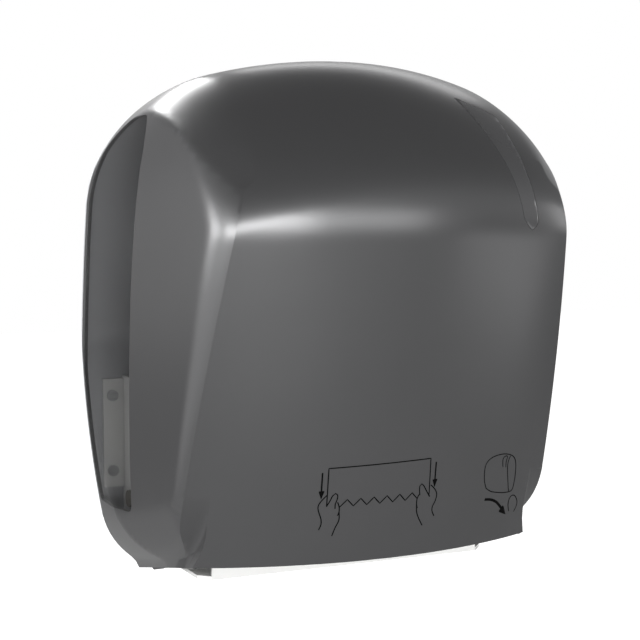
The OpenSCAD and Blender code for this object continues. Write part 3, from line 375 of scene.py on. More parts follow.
    def front_depth(self, x, z, lift):
        """Depth of the front face, or of a layer that stands off it by lift"""
        low, high = (np.full(x.shape, limit) for limit in DEPTH_RANGE)
        for _ in range(40):
            middle = (low + high) / 2
            outside = self.gap(x, middle, z) > lift
            high = np.where(outside, middle, high)
            low = np.where(outside, low, middle)
        return low


def to_frame(points):
    """From width, depth and height above the foot to the shared frame"""
    return np.stack([points[..., 0], -points[..., 1], points[..., 2] - FOOT], -1)


def deselect():
    bpy.ops.object.select_all(action="DESELECT")


def only(piece):
    deselect()
    piece.hide_set(False)
    piece.select_set(True)
    bpy.context.view_layer.objects.active = piece


def started(name):
    """The primitive that was just added, with its name"""
    piece = bpy.context.object
    piece.name = name
    piece.data.name = name
    return piece


def apply_modifier(piece, kind, **values):
    only(piece)
    modifier = piece.modifiers.new(kind.title(), kind)
    for key, value in values.items():
        setattr(modifier, key, value)
    bpy.ops.object.modifier_apply(modifier=modifier.name)


def settle(piece):
    """Puts a piece's place in its mesh, so that its object sits at the origin"""
    only(piece)
    bpy.ops.object.transform_apply(location=True, rotation=True, scale=True)


def clean(piece, merge=1e-6):
    """Merges doubles and turns the faces outwards"""
    only(piece)
    bpy.ops.object.mode_set(mode="EDIT")
    bpy.ops.mesh.select_all(action="SELECT")
    bpy.ops.mesh.remove_doubles(threshold=merge)
    bpy.ops.mesh.normals_make_consistent(inside=False)
    bpy.ops.object.mode_set(mode="OBJECT")


def smooth(piece, angle=30):
    only(piece)
    bpy.ops.object.shade_smooth_by_angle(angle=math.radians(angle))


def copy_of(piece, name):
    only(piece)
    bpy.ops.object.duplicate()
    return started(name)


def remove(*pieces):
    for piece in pieces:
        mesh = piece.data
        bpy.data.objects.remove(piece)
        bpy.data.meshes.remove(mesh)


def set_points(piece, points):
    piece.data.vertices.foreach_set("co", np.ascontiguousarray(points, np.float32).ravel())
    piece.data.update()


def get_points(piece):
    points = np.zeros(len(piece.data.vertices) * 3, np.float32)
    piece.data.vertices.foreach_get("co", points)
    return points.reshape(-1, 3).astype(float)


def grid(name, columns, rows):
    """A grid primitive of unit size, and the column and row of each of its points"""
    deselect()
    bpy.ops.mesh.primitive_grid_add(x_subdivisions=columns, y_subdivisions=rows, size=1)
    piece = started(name)
    place = get_points(piece)
    column = np.rint((place[:, 0] + 0.5) * columns).astype(int)
    row = np.rint((place[:, 1] + 0.5) * rows).astype(int)
    return piece, column, row


def finish_piece(piece, body, slot, material, *nodes):
    piece.data.materials.clear()
    piece.data.materials.append(material)
    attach(piece, body)
    if nodes:
        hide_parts(*nodes)


# Shader node groups
def socket(group, name, side, kind, value=None):
    made = group.interface.new_socket(name=name, in_out=side, socket_type=kind)
    if value is not None:
        made.default_value = value


def moulded_group():
    """Colour, roughness and height of a moulded or ground surface, uneven at two scales"""
    name = "Moulded surface"
    if name in bpy.data.node_groups:
        return bpy.data.node_groups[name]
    group = bpy.data.node_groups.new(name, "ShaderNodeTree")
    socket(group, "Vector", "INPUT", "NodeSocketVector")
    socket(group, "Colour", "INPUT", "NodeSocketColor", (0.5, 0.5, 0.5, 1))
    socket(group, "Spread", "INPUT", "NodeSocketFloat", 0.06)
    socket(group, "Roughness", "INPUT", "NodeSocketFloat", 0.4)
    socket(group, "Roughness spread", "INPUT", "NodeSocketFloat", 0.08)
    socket(group, "Fine scale", "INPUT", "NodeSocketFloat", 1800.0)
    socket(group, "Broad scale", "INPUT", "NodeSocketFloat", 14.0)
    socket(group, "Colour", "OUTPUT", "NodeSocketColor")
    socket(group, "Roughness", "OUTPUT", "NodeSocketFloat")
    socket(group, "Height", "OUTPUT", "NodeSocketFloat")
    node, link = group.nodes.new, group.links.new
    given, given_out = node("NodeGroupInput"), node("NodeGroupOutput")
    fine, broad = node("ShaderNodeTexNoise"), node("ShaderNodeTexNoise")
    fine.inputs["Detail"].default_value = 2
    broad.inputs["Detail"].default_value = 3
    for texture, scale in ((fine, "Fine scale"), (broad, "Broad scale")):
        link(given.outputs["Vector"], texture.inputs["Vector"])
        link(given.outputs[scale], texture.inputs["Scale"])
    both = node("ShaderNodeMath")
    both.operation = "ADD"
    link(fine.outputs["Fac"], both.inputs[0])
    link(broad.outputs["Fac"], both.inputs[1])
    centred = node("ShaderNodeMath")
    centred.operation = "SUBTRACT"
    centred.inputs[1].default_value = 1.0
    link(both.outputs[0], centred.inputs[0])
    lift = node("ShaderNodeMath")
    lift.operation = "MULTIPLY_ADD"
    lift.inputs[2].default_value = 1.0
    link(centred.outputs[0], lift.inputs[0])
    link(given.outputs["Spread"], lift.inputs[1])
    colour = node("ShaderNodeVectorMath")
    colour.operation = "SCALE"
    link(given.outputs["Colour"], colour.inputs[0])
    link(lift.outputs[0], colour.inputs["Scale"])
    rough = node("ShaderNodeMath")
    rough.operation = "MULTIPLY_ADD"
    rough.use_clamp = True
    link(centred.outputs[0], rough.inputs[0])
    link(given.outputs["Roughness spread"], rough.inputs[1])
    link(given.outputs["Roughness"], rough.inputs[2])
    link(colour.outputs[0], given_out.inputs["Colour"])
    link(rough.outputs[0], given_out.inputs["Roughness"])
    link(fine.outputs["Fac"], given_out.inputs["Height"])
    return group


def finish(name, colour, roughness, spread=0.06, rough_spread=0.08, fine=1800, broad=14, bump=0.03,
           stretch=(1, 1, 1), **constants):
    """A material of the moulded surface group, with plain values on the shader's own sockets"""
    material = bpy.data.materials.new(name)
    material.use_nodes = True
    tree = material.node_tree
    shader = tree.nodes["Principled BSDF"]
    coordinates = tree.nodes.new("ShaderNodeTexCoord")
    mapping = tree.nodes.new("ShaderNodeMapping")
    mapping.inputs["Scale"].default_value = stretch
    surface = tree.nodes.new("ShaderNodeGroup")
    surface.node_tree = moulded_group()
    values = {"Colour": (*colour, 1), "Spread": spread, "Roughness": roughness, "Roughness spread": rough_spread,
              "Fine scale": fine, "Broad scale": broad}
    for key, value in values.items():
        surface.inputs[key].default_value = value
    uneven = tree.nodes.new("ShaderNodeBump")
    uneven.inputs["Strength"].default_value = bump
    uneven.inputs["Distance"].default_value = BUMP_H
    link = tree.links.new
    link(coordinates.outputs["Object"], mapping.inputs["Vector"])
    link(mapping.outputs["Vector"], surface.inputs["Vector"])
    link(surface.outputs["Colour"], shader.inputs["Base Color"])
    link(surface.outputs["Roughness"], shader.inputs["Roughness"])
    link(surface.outputs["Height"], uneven.inputs["Height"])
    link(uneven.outputs["Normal"], shader.inputs["Normal"])
    for key, value in constants.items():
        shader.inputs[key.replace("_", " ").title().replace("Ior", "IOR")].default_value = value
    return material


FINISHES = {}


def make_finishes():
    c = bpy.context.scene.dispenser_colours
    FINISHES.update(
        cover_grey=finish("Metallic grey", c.grey, 0.29, spread=0.10, rough_spread=0.04, fine=4200, broad=9,
                          bump=0.012, metallic=0.5, coat_weight=0.12, coat_roughness=0.2),
        smoke_window=finish("Smoked pane", c.smoke, 0.07, spread=0.04, rough_spread=0.005, fine=60, broad=12,
                            bump=0.001, alpha=0.35, ior=1.49, specular_ior_level=0.25),
        # Nearly opaque, so this colour is the smoke plus painted shade of the dim inside behind the level window
        level_window=finish("Smoked level pane with painted shade", c.level, 0.16, spread=0.04, rough_spread=0.01, fine=60, broad=12,
                            bump=0.001, alpha=0.93, ior=1.49),
        white_plastic=finish("White moulding", c.white, 0.42, bump=0.05),
        pale_plastic=finish("Pale moulding", c.pale, 0.45, bump=0.05),
        brown_plastic=finish("Brown grey moulding", c.brown, 0.40, spread=0.10, bump=0.06),
        steel=finish("Ground steel", c.steel, 0.30, spread=0.12, rough_spread=0.15, fine=900, bump=0.04,
                     stretch=(0.05, 1, 1), metallic=1.0),
        rubber=finish("Rubber", c.rubber, 0.75, spread=0.2, fine=1200, bump=0.15),
        ink=finish("Ink", c.ink, 0.60, spread=0.1, bump=0.02, specular_ior_level=0.06),
    )


class DISPENSER_OT_finishes(Operator):
    """Makes the finishes and puts them on the CAD nodes"""

    bl_idname = "dispenser.finishes"
    bl_label = "Finishes"

    def execute(self, context):
        make_finishes()
        slots = {part["node"]: part["material_slot"] for part in frame["record"]["subparts"]}
        for name, node in NODES.items():
            node.data.materials.clear()
            node.data.materials.append(FINISHES[slots[name]])
        return {"FINISHED"}


def arch_places(form, columns, front, side):
    """Turn and opening of each mesh point from the middle of the front to the rear edge"""
    front_shares = 1 - (1 - np.arange(0, front + 1) / front) ** FRONT_CROWD
    side_shares = (np.arange(1, side + 1) / side) ** SIDE_CROWD
    turns = form.corner_turn + (math.pi - 2 * form.corner_turn) * np.arange(columns + 1) / columns
    creases = form.crease_open(turns)
    creases[0] = creases[-1] = form.corner_open
    side_opens = form.corner_open + (math.pi / 2 - form.corner_open) * side_shares
    starts = np.concatenate([np.full(front + 1, form.corner_turn), form.edge_turn(side_opens)])
    turn = starts[:, None] + (math.pi - 2 * starts[:, None]) * np.arange(columns + 1)[None] / columns
    opening = np.concatenate([
        creases[None] * front_shares[:, None],
        creases[None] + (math.pi / 2 - creases[None]) * side_shares[:, None],
    ])
    return turn, opening, front_shares


def pull_to_panel_edge(form, turn, opening, first):
    """Moves the nearest mesh points onto the sharp edge between the arch and the side panel"""

    def side_of(t, o):
        p = form.cast(t, o)
        return form.arch(p[..., 0], p[..., 1], p[..., 2]) - form.side_panel(p[..., 0], p[..., 1], p[..., 2])

    value = side_of(turn, opening)
    best = np.full(turn.shape, PULL_MOST)
    new_turn, new_open = turn.copy(), opening.copy()
    rows, columns = turn.shape
    for step in ((1, 0), (0, 1)):
        a_t, a_o, a_v = (g[first:rows - 1 - step[0], 1:columns - 1 - step[1]] for g in (turn, opening, value))
        shift = (slice(first + step[0], rows - 1), slice(1 + step[1], columns - 1))
        b_t, b_o, b_v = turn[shift], opening[shift], value[shift]
        k, i = np.nonzero((a_v > 0) != (b_v > 0))
        low, high = np.zeros(len(k)), np.ones(len(k))
        at, ao, bt, bo = a_t[k, i], a_o[k, i], b_t[k, i], b_o[k, i]
        start = a_v[k, i] > 0
        for _ in range(24):
            middle = (low + high) / 2
            same = (side_of(at + (bt - at) * middle, ao + (bo - ao) * middle) > 0) == start
            low = np.where(same, middle, low)
            high = np.where(same, high, middle)
        for n in range(len(k)):
            near_a = low[n] <= 0.5
            row = first + k[n] + (0 if near_a else step[0])
            column = 1 + i[n] + (0 if near_a else step[1])
            distance = low[n] if near_a else 1 - low[n]
            if distance < best[row, column]:
                best[row, column] = distance
                new_turn[row, column] = at[n] + (bt[n] - at[n]) * low[n]
                new_open[row, column] = ao[n] + (bo[n] - ao[n]) * low[n]
    return new_turn, new_open, best < PULL_MOST


def cover_skin(form):
    """Outer skin of the cover: the arch and its front as one grid, the skirt as another, joined"""
    s = form.s
    turn, opening, front_shares = arch_places(form, s.arch_columns, s.front_rings, s.side_rings)
    turn, opening, on_edge = pull_to_panel_edge(form, turn, opening, s.front_rings + 1)
    points = to_frame(form.cast(turn, opening))
    rows = s.front_rings + s.side_rings
    skin, column, row = grid("front_cover_shell", s.arch_columns, rows)
    set_points(skin, points[row, column])
    edge_points = on_edge[row, column]

    only(skin)
    bpy.ops.object.mode_set(mode="EDIT")
    bpy.ops.mesh.select_mode(type="VERT")
    bpy.ops.mesh.select_all(action="DESELECT")
    bpy.ops.object.mode_set(mode="OBJECT")
    skin.data.vertices.foreach_set("select", edge_points)
    bpy.ops.object.mode_set(mode="EDIT")
    bpy.ops.mesh.vert_connect()
    bpy.ops.object.mode_set(mode="OBJECT")

    steps = np.arange(s.skirt_columns + 1)
    skirt_turn = math.pi - form.corner_turn + (math.pi + 2 * form.corner_turn) * steps / s.skirt_columns
    skirt_open = form.skirt_open(skirt_turn)
    skirt_open[0] = skirt_open[-1] = form.corner_open
    skirt, column, row = grid("skirt", s.skirt_columns, s.front_rings)
    turn = np.repeat(skirt_turn[None], s.front_rings + 1, 0)
    points = to_frame(form.cast(turn, skirt_open[None] * front_shares[:, None]))
    set_points(skirt, points[row, column])

    only(skin)
    skirt.select_set(True)
    bpy.ops.object.join()
    clean(skin, 2e-6)
    return skin


def prism(name, outline, axis, start, end):
    """A closed prism with the given outline, along X or along Y"""
    deselect()
    bpy.ops.mesh.primitive_circle_add(vertices=len(outline), radius=1, fill_type="NGON")
    piece = started(name)
    points = np.array(outline, float)
    flat = np.full(len(outline), start)
    first, second = points[:, 0], points[:, 1] - FOOT
    set_points(piece, np.stack([flat, -first, second] if axis == "X" else [first, flat, second], -1))
    only(piece)
    bpy.ops.object.mode_set(mode="EDIT")
    bpy.ops.mesh.select_all(action="SELECT")
    way = (end - start, 0, 0) if axis == "X" else (0, end - start, 0)
    bpy.ops.mesh.extrude_region_move(TRANSFORM_OT_translate={"value": way})
    bpy.ops.object.mode_set(mode="OBJECT")
    clean(piece)
    return piece


def rounded(outline, radius, steps=6):
    """An outline with its corners rounded"""
    points = [np.array(p, float) for p in outline]
    made = []
    for i, p in enumerate(points):
        before, after = points[i - 1], points[(i + 1) % len(points)]
        reach = min(radius, 0.45 * np.linalg.norm(before - p), 0.45 * np.linalg.norm(after - p))
        a = p + (before - p) / np.linalg.norm(before - p) * reach
        b = p + (after - p) / np.linalg.norm(after - p) * reach
        for t in np.linspace(0, 1, steps):
            made.append((1 - t) ** 2 * a + 2 * t * (1 - t) * p + t * t * b)
    return made


def side_outline(w, gap):
    """Depths and heights round a side window, smaller by the gap"""
    rear, front, top = w.rear_d + gap, w.front_d - gap, w.top_z - gap
    return rounded([
        (rear, w.low_z - 0.002 + gap), (front, w.low_z + gap), (front, top - 0.108),
        (front + 0.0025, top - 0.052), (front + 0.0005, top - 0.024), (front - 0.004, top - 0.011),
        (front - 0.011, top), (rear + 0.027, top - 0.0015), (rear + 0.011, top - 0.010),
        (rear + 0.0015, top - 0.020), (rear, top - 0.052)], SIDE_CORNER_R)


def level_outline(w, gap):
    """Widths and heights round the level window, smaller by the gap"""
    low, top = w.level_low_z + gap, w.level_top_z - gap
    tip, foot, edge = w.level_tip_x + gap, w.level_foot_x + gap, w.level_x - gap
    return rounded([
        (foot + 0.0075, low), (foot, low + 0.0075), (tip, top), (edge + 0.0005, top - 0.0125),
        (edge - 0.0004, top - 0.030), (edge, top - 0.052), (edge + 0.005, low + 0.009),
        (edge + 0.0055, low + 0.004)], LEVEL_CORNER_R)


class DISPENSER_OT_cover(Operator):
    """Casts the cover's skin, gives it its wall and cuts the windows and the keyhole"""

    bl_idname = "dispenser.cover"
    bl_label = "Cover and panes"

    def execute(self, context):
        sizes, windows = context.scene.dispenser_cover, context.scene.dispenser_windows
        form = CoverForm(sizes)
        shell = cover_skin(form)
        apply_modifier(shell, "SOLIDIFY", thickness=sizes.wall, offset=-1, use_even_offset=True, use_rim=True)
        half = sizes.arch_w / 2 + CUT_PAST
        inside = sizes.arch_w / 2 - CUT_IN
        cuts = {
            "side_window_left": (lambda gap: side_outline(windows, gap), "X", -half, -inside),
            "side_window_right": (lambda gap: side_outline(windows, gap), "X", inside, half),
            "level_window": (lambda gap: level_outline(windows, gap), "Y", -sizes.front_d - CUT_PAST, -LEVEL_CUT_D),
        }
        for name, (outline, axis, start, end) in cuts.items():
            pane = copy_of(shell, name + "_pane")
            tool = prism("pane_tool", outline(windows.gap), axis, start, end)
            apply_modifier(pane, "BOOLEAN", operation="INTERSECT", object=tool, solver="MANIFOLD")
            remove(tool)
            if not pane.data.vertices:
                raise RuntimeError("the pane " + name + " came out empty")
            apply_modifier(pane, "BEVEL", width=windows.bevel, segments=2, limit_method="ANGLE",
                           angle_limit=math.radians(50))
            smooth(pane)
            finish_piece(pane, "cover", "smoke_window", FINISHES.get(name, FINISHES["smoke_window"]), name)
        for name, (outline, axis, start, end) in cuts.items():
            tool = prism("opening_tool", outline(0), axis, start, end)
            apply_modifier(shell, "BOOLEAN", operation="DIFFERENCE", object=tool, solver="MANIFOLD")
            remove(tool)
        low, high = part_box("lock_barrel")
        middle = (low + high) / 2
        deselect()
        bpy.ops.mesh.primitive_cylinder_add(vertices=64, radius=(high.x - low.x) / 2 + KEYHOLE_GAP, depth=KEYHOLE_H,
                                            location=(middle.x, middle.y, high.z))
        tool = started("keyhole_tool")
        settle(tool)
        apply_modifier(shell, "BOOLEAN", operation="DIFFERENCE", object=tool, solver="MANIFOLD")
        remove(tool)
        if len(shell.data.vertices) < 1000:
            raise RuntimeError("the cover came out empty")
        smooth(shell)
        finish_piece(shell, "cover", "cover_grey", FINISHES["cover_grey"], "front_cover")
        return {"FINISHED"}


# Lines of the marks on the front, as widths and heights in millimetres from the foot of the arch
SHEET = [(-46.5, 78), (-47.9, 104), (25, 105.8), (27.6, 79)]
TEETH = 6
LEFT_HAND = [
    [(-47.2, 85.6), (-50.8, 81.4), (-52.2, 78), (-51.2, 74), (-49.4, 69.8), (-48.8, 65.8), (-50, 61.8)],
    [(-46.6, 77.8), (-44.6, 81.8), (-43.2, 85.2), (-41.4, 86.6), (-39.9, 85.4), (-39.9, 82.4), (-40.8, 79.2),
     (-40.6, 76)],
    [(-39.4, 80.4), (-38, 77.4), (-37.6, 73.6), (-38.4, 71)],
    [(-37.6, 73.6), (-37, 68), (-39, 62.6), (-40.6, 57)],
]
RIGHT_HAND = [
    [(27.9, 86.9), (31.4, 83.8), (33.7, 80), (33.3, 75.2), (31.6, 71), (31.9, 67.8), (34, 64.2)],
    [(28.3, 78.6), (25.6, 82.2), (22.2, 87), (20.5, 88.4), (19.2, 86.8), (19.5, 83.4), (20.2, 80.4)],
    [(19.4, 81), (18.4, 78), (18.6, 74), (19.6, 71.4)],
    [(18.6, 74), (19.4, 69), (21.6, 64.2), (25.4, 58.4)],
]
SMALL_BODY = [(77, 78.6), (74.2, 85), (73, 93.6), (74.8, 98.4), (80, 101.2), (88.8, 102), (97, 100.2), (101.8, 96.4),
              (104, 90), (104.8, 81), (103.6, 73.6), (97, 72.8), (90, 73.8), (82.4, 75.6), (77, 78.6)]
SMALL_WINDOW = [(90.4, 92.4), (89.2, 97.8), (90.6, 100), (93.4, 99.8), (92.8, 96), (93.4, 91.8)]
SMALL_FOLD = [(96.4, 99.8), (95, 96), (95.4, 90.6), (98.8, 78), (100.4, 73.2)]
SMALL_HAND = [(104.3, 57.6), (102.3, 63), (102.7, 67.4), (105, 69.4), (108.6, 68.2), (111.8, 63.8), (111.6, 59.8),
              (109.8, 56.4)]
TURN_ARROW = [(77.4, 70.4), (83.8, 69.3), (89.8, 66.5), (96, 61)]
PULL_ARROWS = [[(-51.8, 101.2), (-51.1, 88)], [(29.7, 102.9), (30.6, 90)]]
# Tip, direction and size of each arrow's head
PULL_HEADS = [((-50.8, 83.2), (0.04, -1), 5), ((31, 85.2), (0.07, -1), 5)]
TURN_HEAD = ((101, 56), (0.75, -0.66), 7)
# Ends of the torn edge and the height of its teeth
TORN_FROM, TORN_TO, TOOTH_H = (-37.6, 77), (18.6, 78), 4.8
# Length of a line's steps in millimetres, and how far the print stands off the cover in metres
LINE_STEP = 1.2
PRINT_LIFT = 0.00014


def drawn_lines(name, lines, width):
    """Lines with round ends as one flat mesh in X and Y"""
    curve = bpy.data.curves.new(name, "CURVE")
    curve.dimensions = "3D"
    curve.bevel_depth = width / 2
    curve.bevel_resolution = 2
    curve.use_fill_caps = True
    for points in lines:
        spline = curve.splines.new("POLY")
        spline.points.add(len(points) - 1)
        for spot, (x, z) in zip(spline.points, points):
            spot.co = (x / 1000, z / 1000, 0, 1)
    piece = bpy.data.objects.new(name, curve)
    bpy.context.scene.collection.objects.link(piece)
    only(piece)
    bpy.ops.object.convert(target="MESH")
    return started(name)


def dense(points):
    """A smooth line through points, with short steps"""
    p = np.array(points, float)
    turned = [p[0]]
    for i in range(len(p) - 1):
        before, after = p[max(i - 1, 0)], p[min(i + 2, len(p) - 1)]
        steps = max(int(np.linalg.norm(p[i + 1] - p[i]) / LINE_STEP), 1)
        for t in np.arange(1, steps + 1) / steps:
            a = 2 * p[i] + (p[i + 1] - before) * t
            b = (2 * before - 5 * p[i] + 4 * p[i + 1] - after) * t * t
            c = (3 * p[i] - before - 3 * p[i + 1] + after) * t ** 3
            turned.append((a + b + c) / 2)
    return turned


def straight(points):
    """Straight lines between points, with short steps"""
    p = np.array(points, float)
    made = [p[0]]
    for i in range(len(p) - 1):
        steps = max(int(np.linalg.norm(p[i + 1] - p[i]) / LINE_STEP), 1)
        made += [p[i] + (p[i + 1] - p[i]) * t for t in np.arange(1, steps + 1) / steps]
    return made


def arrow_head(tip, way, size):
    """Lines that fill the head of an arrow"""
    tip, way = np.array(tip, float), np.array(way, float) / np.linalg.norm(way)
    across = np.array([-way[1], way[0]])
    lines = []
    for t in np.linspace(0.12, 1, 9):
        at = tip - way * size * t
        lines.append([at - across * size * 0.36 * t, at + across * size * 0.36 * t])
    return lines


def lay_on_front(piece, form, width):
    """Lays a flat mesh on the front of the cover, a print's thickness proud"""
    flat = get_points(piece)
    x, z = flat[:, 0], flat[:, 1]
    off = PRINT_LIFT * (0.7 + 0.3 * flat[:, 2] / (width / 2))
    d = form.front_depth(x, z, off)
    set_points(piece, to_frame(np.stack([x, d, z], -1)))


class DISPENSER_OT_marks(Operator):
    """Prints the line marks for pulling a sheet and turning the wheel on the front"""

    bl_idname = "dispenser.marks"
    bl_label = "Printed marks"

    def execute(self, context):
        form = CoverForm(context.scene.dispenser_cover)
        start, end = np.array(TORN_FROM), np.array(TORN_TO)
        teeth = [start + (end - start) * i / (2 * TEETH) + (0, TOOTH_H * (i % 2)) for i in range(2 * TEETH + 1)]
        thin = [straight(SHEET), straight(teeth)] + [dense(line) for line in LEFT_HAND + RIGHT_HAND]
        small = [dense(line) for line in (SMALL_BODY, SMALL_WINDOW, SMALL_FOLD, SMALL_HAND)]
        bold = [straight(line) for line in PULL_ARROWS]
        for head in PULL_HEADS:
            bold += arrow_head(*head)
        heavy = [dense(TURN_ARROW)] + arrow_head(*TURN_HEAD)
        groups = {
            "sheet_marks": (thin, 0.0008), "wheel_marks": (small, 0.0007),
            "pull_arrows": (bold, 0.0011), "turn_arrow": (heavy, 0.0019),
        }
        for name, (lines, width) in groups.items():
            piece = drawn_lines(name, lines, width)
            lay_on_front(piece, form, width)
            clean(piece)
            smooth(piece, 60)
            finish_piece(piece, "cover", "rubber", FINISHES["ink"])
        return {"FINISHED"}


def wound_wire(name, coil_r, height, curls, wire_r):
    """A wound wire along +Z from the origin, with its ends ground flat"""
    deselect()
    bpy.ops.mesh.primitive_circle_add(vertices=10, radius=wire_r, fill_type="NOTHING",
                                      location=(coil_r, 0, wire_r), rotation=(math.pi / 2, 0, 0))
    piece = started(name)
    settle(piece)
    pitch = (height - 2 * wire_r) / curls
    apply_modifier(piece, "SCREW", axis="Z", angle=2 * math.pi, screw_offset=pitch, iterations=curls,
                   steps=28, render_steps=28, use_merge_vertices=False)
    clean(piece)
    only(piece)
    bpy.ops.object.mode_set(mode="EDIT")
    bpy.ops.mesh.select_all(action="SELECT")
    bpy.ops.mesh.fill_holes(sides=0)
    bpy.ops.mesh.select_all(action="SELECT")
    bpy.ops.mesh.normals_make_consistent(inside=False)
    bpy.ops.object.mode_set(mode="OBJECT")
    return piece


# Coil radius, wire radius and curls of each wound spring
SPRINGS = {
    "return_spring": (0.0034, 0.0008, 14),
    "pinch_spring_left": (0.0042, 0.0006, 5),
    "pinch_spring_right": (0.0042, 0.0006, 5),
    "arm_spring_left": (0.0042, 0.0006, 5),
    "arm_spring_right": (0.0042, 0.0006, 5),
}
# Rise of the pinch springs to the front, in degrees
PINCH_LEAN = 20


def main_way(node):
    """Direction in which a CAD spring is longest, upwards"""
    points = get_points(NODES[node])
    middle = points.mean(0)
    spread = np.linalg.svd(points - middle, full_matrices=False)[2]
    reach = (points - middle) @ spread.T
    way = spread[np.argmax(reach.max(0) - reach.min(0))]
    return way if way[2] > 0 else -way


class DISPENSER_OT_springs(Operator):
    """Winds the five springs in the places of their CAD solids"""

    bl_idname = "dispenser.springs"
    bl_label = "Springs"

    def execute(self, context):
        for node, (coil_r, wire_r, curls) in SPRINGS.items():
            centre, way, height = self.axis(node)
            piece = wound_wire(node + "_wire", coil_r, height, curls, wire_r)
            turn = Vector((0, 0, 1)).rotation_difference(Vector(way)).to_matrix().to_4x4()
            piece.data.transform(Matrix.Translation(Vector(centre - way * height / 2)) @ turn)
            smooth(piece, 50)
            piece.data.materials.append(FINISHES["steel"])
            if node == "return_spring":
                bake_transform(piece)
            else:
                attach(piece, "wall_unit")
            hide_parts(node)
        return {"FINISHED"}

    @staticmethod
    def axis(node):
        """Middle, direction and height of a spring"""
        low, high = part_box(node)
        middle = np.array((low + high) / 2)
        if node.startswith("arm_spring"):
            return middle, np.array([0.0, 0, 1]), high.z - low.z
        if node.startswith("pinch_spring"):
            lean = math.radians(PINCH_LEAN)
            way = np.array([0, -math.cos(lean), math.sin(lean)])
        else:
            way = main_way(node)
        points = get_points(NODES[node])
        along = (points - middle) @ way
        centre = middle + way * (along.max() + along.min()) / 2
        return centre, way, along.max() - along.min()


# Size of the floor and how far it lies below the dispenser
FLOOR_SIZE = 12
FLOOR_DROP = 0.40
# Tones of the studio from straight down to straight up
TONES = (
    (0.0, (0.58, 0.58, 0.58)), (0.10, (0.58, 0.58, 0.5858)), (0.30, (0.50, 0.50, 0.505)),
    (0.52, (0.27, 0.27, 0.2727)), (0.70, (0.22, 0.22, 0.2222)), (1.0, (0.24, 0.24, 0.242)),
)
# Name, place, target, size and power of each light
LIGHTS = (
    ("Front box", (-0.508, -1.722, -0.16), (-0.1, -0.2, 0.05), (0.90, 0.36), 19),
    ("Front fill", (0.41, -1.74, -0.12), (0, -0.21, 0.05), (0.80, 0.36), 4.5),
    ("Left box", (-1.70, -0.03, 0.17), (-0.13, -0.18, 0.05), (0.46, 0.24), 9),
    ("Left rear box", (-1.52, 0.58, 0.17), (-0.13, -0.18, 0.05), (0.40, 0.24), 5),
    ("Left fill", (-1.61, 0.37, -0.32), (-0.13, -0.17, -0.03), (1.0, 0.40), 1.6),
    ("Rear box", (-0.22, 1.48, 1.02), (-0.1, -0.08, 0.14), (0.95, 0.30), 12),
    ("Rear bank", (0.83, 1.26, 0.94), (0.1, -0.12, 0.14), (0.9, 0.26), 1.5),
    ("Right fill", (1.25, -1.0, -0.50), (0.05, -0.18, -0.10), (0.8, 0.3), 1.2),
    ("Right box", (1.66, -0.58, 0.06), (0.11, -0.19, 0.04), (0.20, 0.60), 1.8),
)
# The camera's place, turn and drop in degrees, lens and sensor in millimetres
CAMERA_PLACE = (-0.46706, -1.06348, 0.06848)
CAMERA_TURN, CAMERA_DROP = 24.91, 4.87
CAMERA_LENS, CAMERA_SENSOR = 87.14, 36


def area_light(name, place, target, size, power):
    lamp = bpy.data.lights.new(name, "AREA")
    lamp.shape = "RECTANGLE"
    lamp.size, lamp.size_y = size
    lamp.energy = power
    light = bpy.data.objects.new(name, lamp)
    bpy.context.scene.collection.objects.link(light)
    light.location = place
    light.rotation_euler = (Vector(target) - Vector(place)).to_track_quat("-Z", "Y").to_euler()


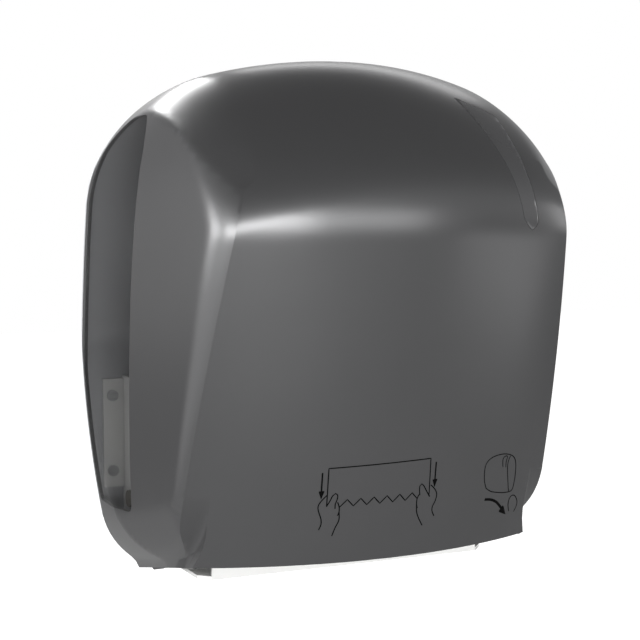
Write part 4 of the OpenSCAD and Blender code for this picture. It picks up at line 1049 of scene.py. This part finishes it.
class DISPENSER_OT_stage(Operator):
    """Sets the floor, the light and the camera"""

    bl_idname = "dispenser.stage"
    bl_label = "Stage"

    def execute(self, context):
        scene = context.scene
        scene.view_settings.view_transform = "Standard"
        deselect()
        bpy.ops.mesh.primitive_plane_add(size=FLOOR_SIZE, location=(0, 0, CAD_BOX[0][2] - FLOOR_DROP))
        floor = started("floor")
        settle(floor)
        pale = finish("Pale floor", scene.dispenser_colours.floor, 0.9, spread=0.01, fine=40, bump=0,
                      emission_color=(1, 1, 1, 1))
        path = pale.node_tree.nodes.new("ShaderNodeLightPath")
        pale.node_tree.links.new(path.outputs["Is Camera Ray"],
                                 pale.node_tree.nodes["Principled BSDF"].inputs["Emission Strength"])
        floor.data.materials.append(pale)

        world = bpy.data.worlds.new("Studio")
        scene.world = world
        world.use_nodes = True
        tree = world.node_tree
        way = tree.nodes.new("ShaderNodeTexCoord")
        parts = tree.nodes.new("ShaderNodeSeparateXYZ")
        ramp = tree.nodes.new("ShaderNodeValToRGB")
        tones = ramp.color_ramp.elements
        for place, _ in TONES[1:-1]:
            tones.new(place)
        for made, (_, tone) in zip(tones, TONES):
            made.color = (*tone, 1)
        ground = tree.nodes["Background"]
        ground.inputs["Strength"].default_value = 1.0
        seen = tree.nodes.new("ShaderNodeBackground")
        seen.inputs["Color"].default_value = (1, 1, 1, 1)
        path = tree.nodes.new("ShaderNodeLightPath")
        either = tree.nodes.new("ShaderNodeMixShader")
        tree.links.new(way.outputs["Generated"], parts.inputs[0])
        tree.links.new(parts.outputs["Z"], ramp.inputs[0])
        tree.links.new(ramp.outputs["Color"], ground.inputs["Color"])
        tree.links.new(path.outputs["Is Camera Ray"], either.inputs[0])
        tree.links.new(ground.outputs[0], either.inputs[1])
        tree.links.new(seen.outputs[0], either.inputs[2])
        tree.links.new(either.outputs[0], tree.nodes["World Output"].inputs["Surface"])

        for light in LIGHTS:
            area_light(*light)

        turn, drop = math.radians(CAMERA_TURN), math.radians(CAMERA_DROP)
        view = Vector((math.sin(turn) * math.cos(drop), math.cos(turn) * math.cos(drop), -math.sin(drop)))
        right = Vector((math.cos(turn), -math.sin(turn), 0))
        up = right.cross(view)
        lens = bpy.data.cameras.new("Camera")
        lens.lens = CAMERA_LENS
        lens.sensor_width = CAMERA_SENSOR
        camera = bpy.data.objects.new("Camera", lens)
        scene.collection.objects.link(camera)
        place = Matrix((right, up, -view)).transposed().to_4x4()
        place.translation = CAMERA_PLACE
        camera.matrix_world = place
        scene.camera = camera
        return {"FINISHED"}


OPERATORS = (
    DISPENSER_OT_finishes, DISPENSER_OT_cover, DISPENSER_OT_marks, DISPENSER_OT_springs, DISPENSER_OT_stage,
)


class DISPENSER_PT_panel(Panel):
    """Lists the dispenser's pieces"""

    bl_idname = "DISPENSER_PT_panel"
    bl_label = "Roll towel dispenser"
    bl_space_type = "VIEW_3D"
    bl_region_type = "UI"
    bl_category = "Dispenser"

    def draw(self, context):
        for operator in OPERATORS:
            self.layout.operator(operator.bl_idname)


CLASSES = (CoverSizes, WindowSizes, FinishColours, *OPERATORS, DISPENSER_PT_panel)


def register():
    for made in CLASSES:
        bpy.utils.register_class(made)
    bpy.types.Scene.dispenser_cover = PointerProperty(type=CoverSizes)
    bpy.types.Scene.dispenser_windows = PointerProperty(type=WindowSizes)
    bpy.types.Scene.dispenser_colours = PointerProperty(type=FinishColours)


def unregister():
    del bpy.types.Scene.dispenser_colours
    del bpy.types.Scene.dispenser_windows
    del bpy.types.Scene.dispenser_cover
    for made in reversed(CLASSES):
        bpy.utils.unregister_class(made)


def main():
    register()
    bpy.ops.dispenser.finishes()
    bpy.ops.dispenser.cover()
    bpy.ops.dispenser.marks()
    bpy.ops.dispenser.springs()
    bpy.ops.dispenser.stage()


if __name__ == "__main__":
    main()
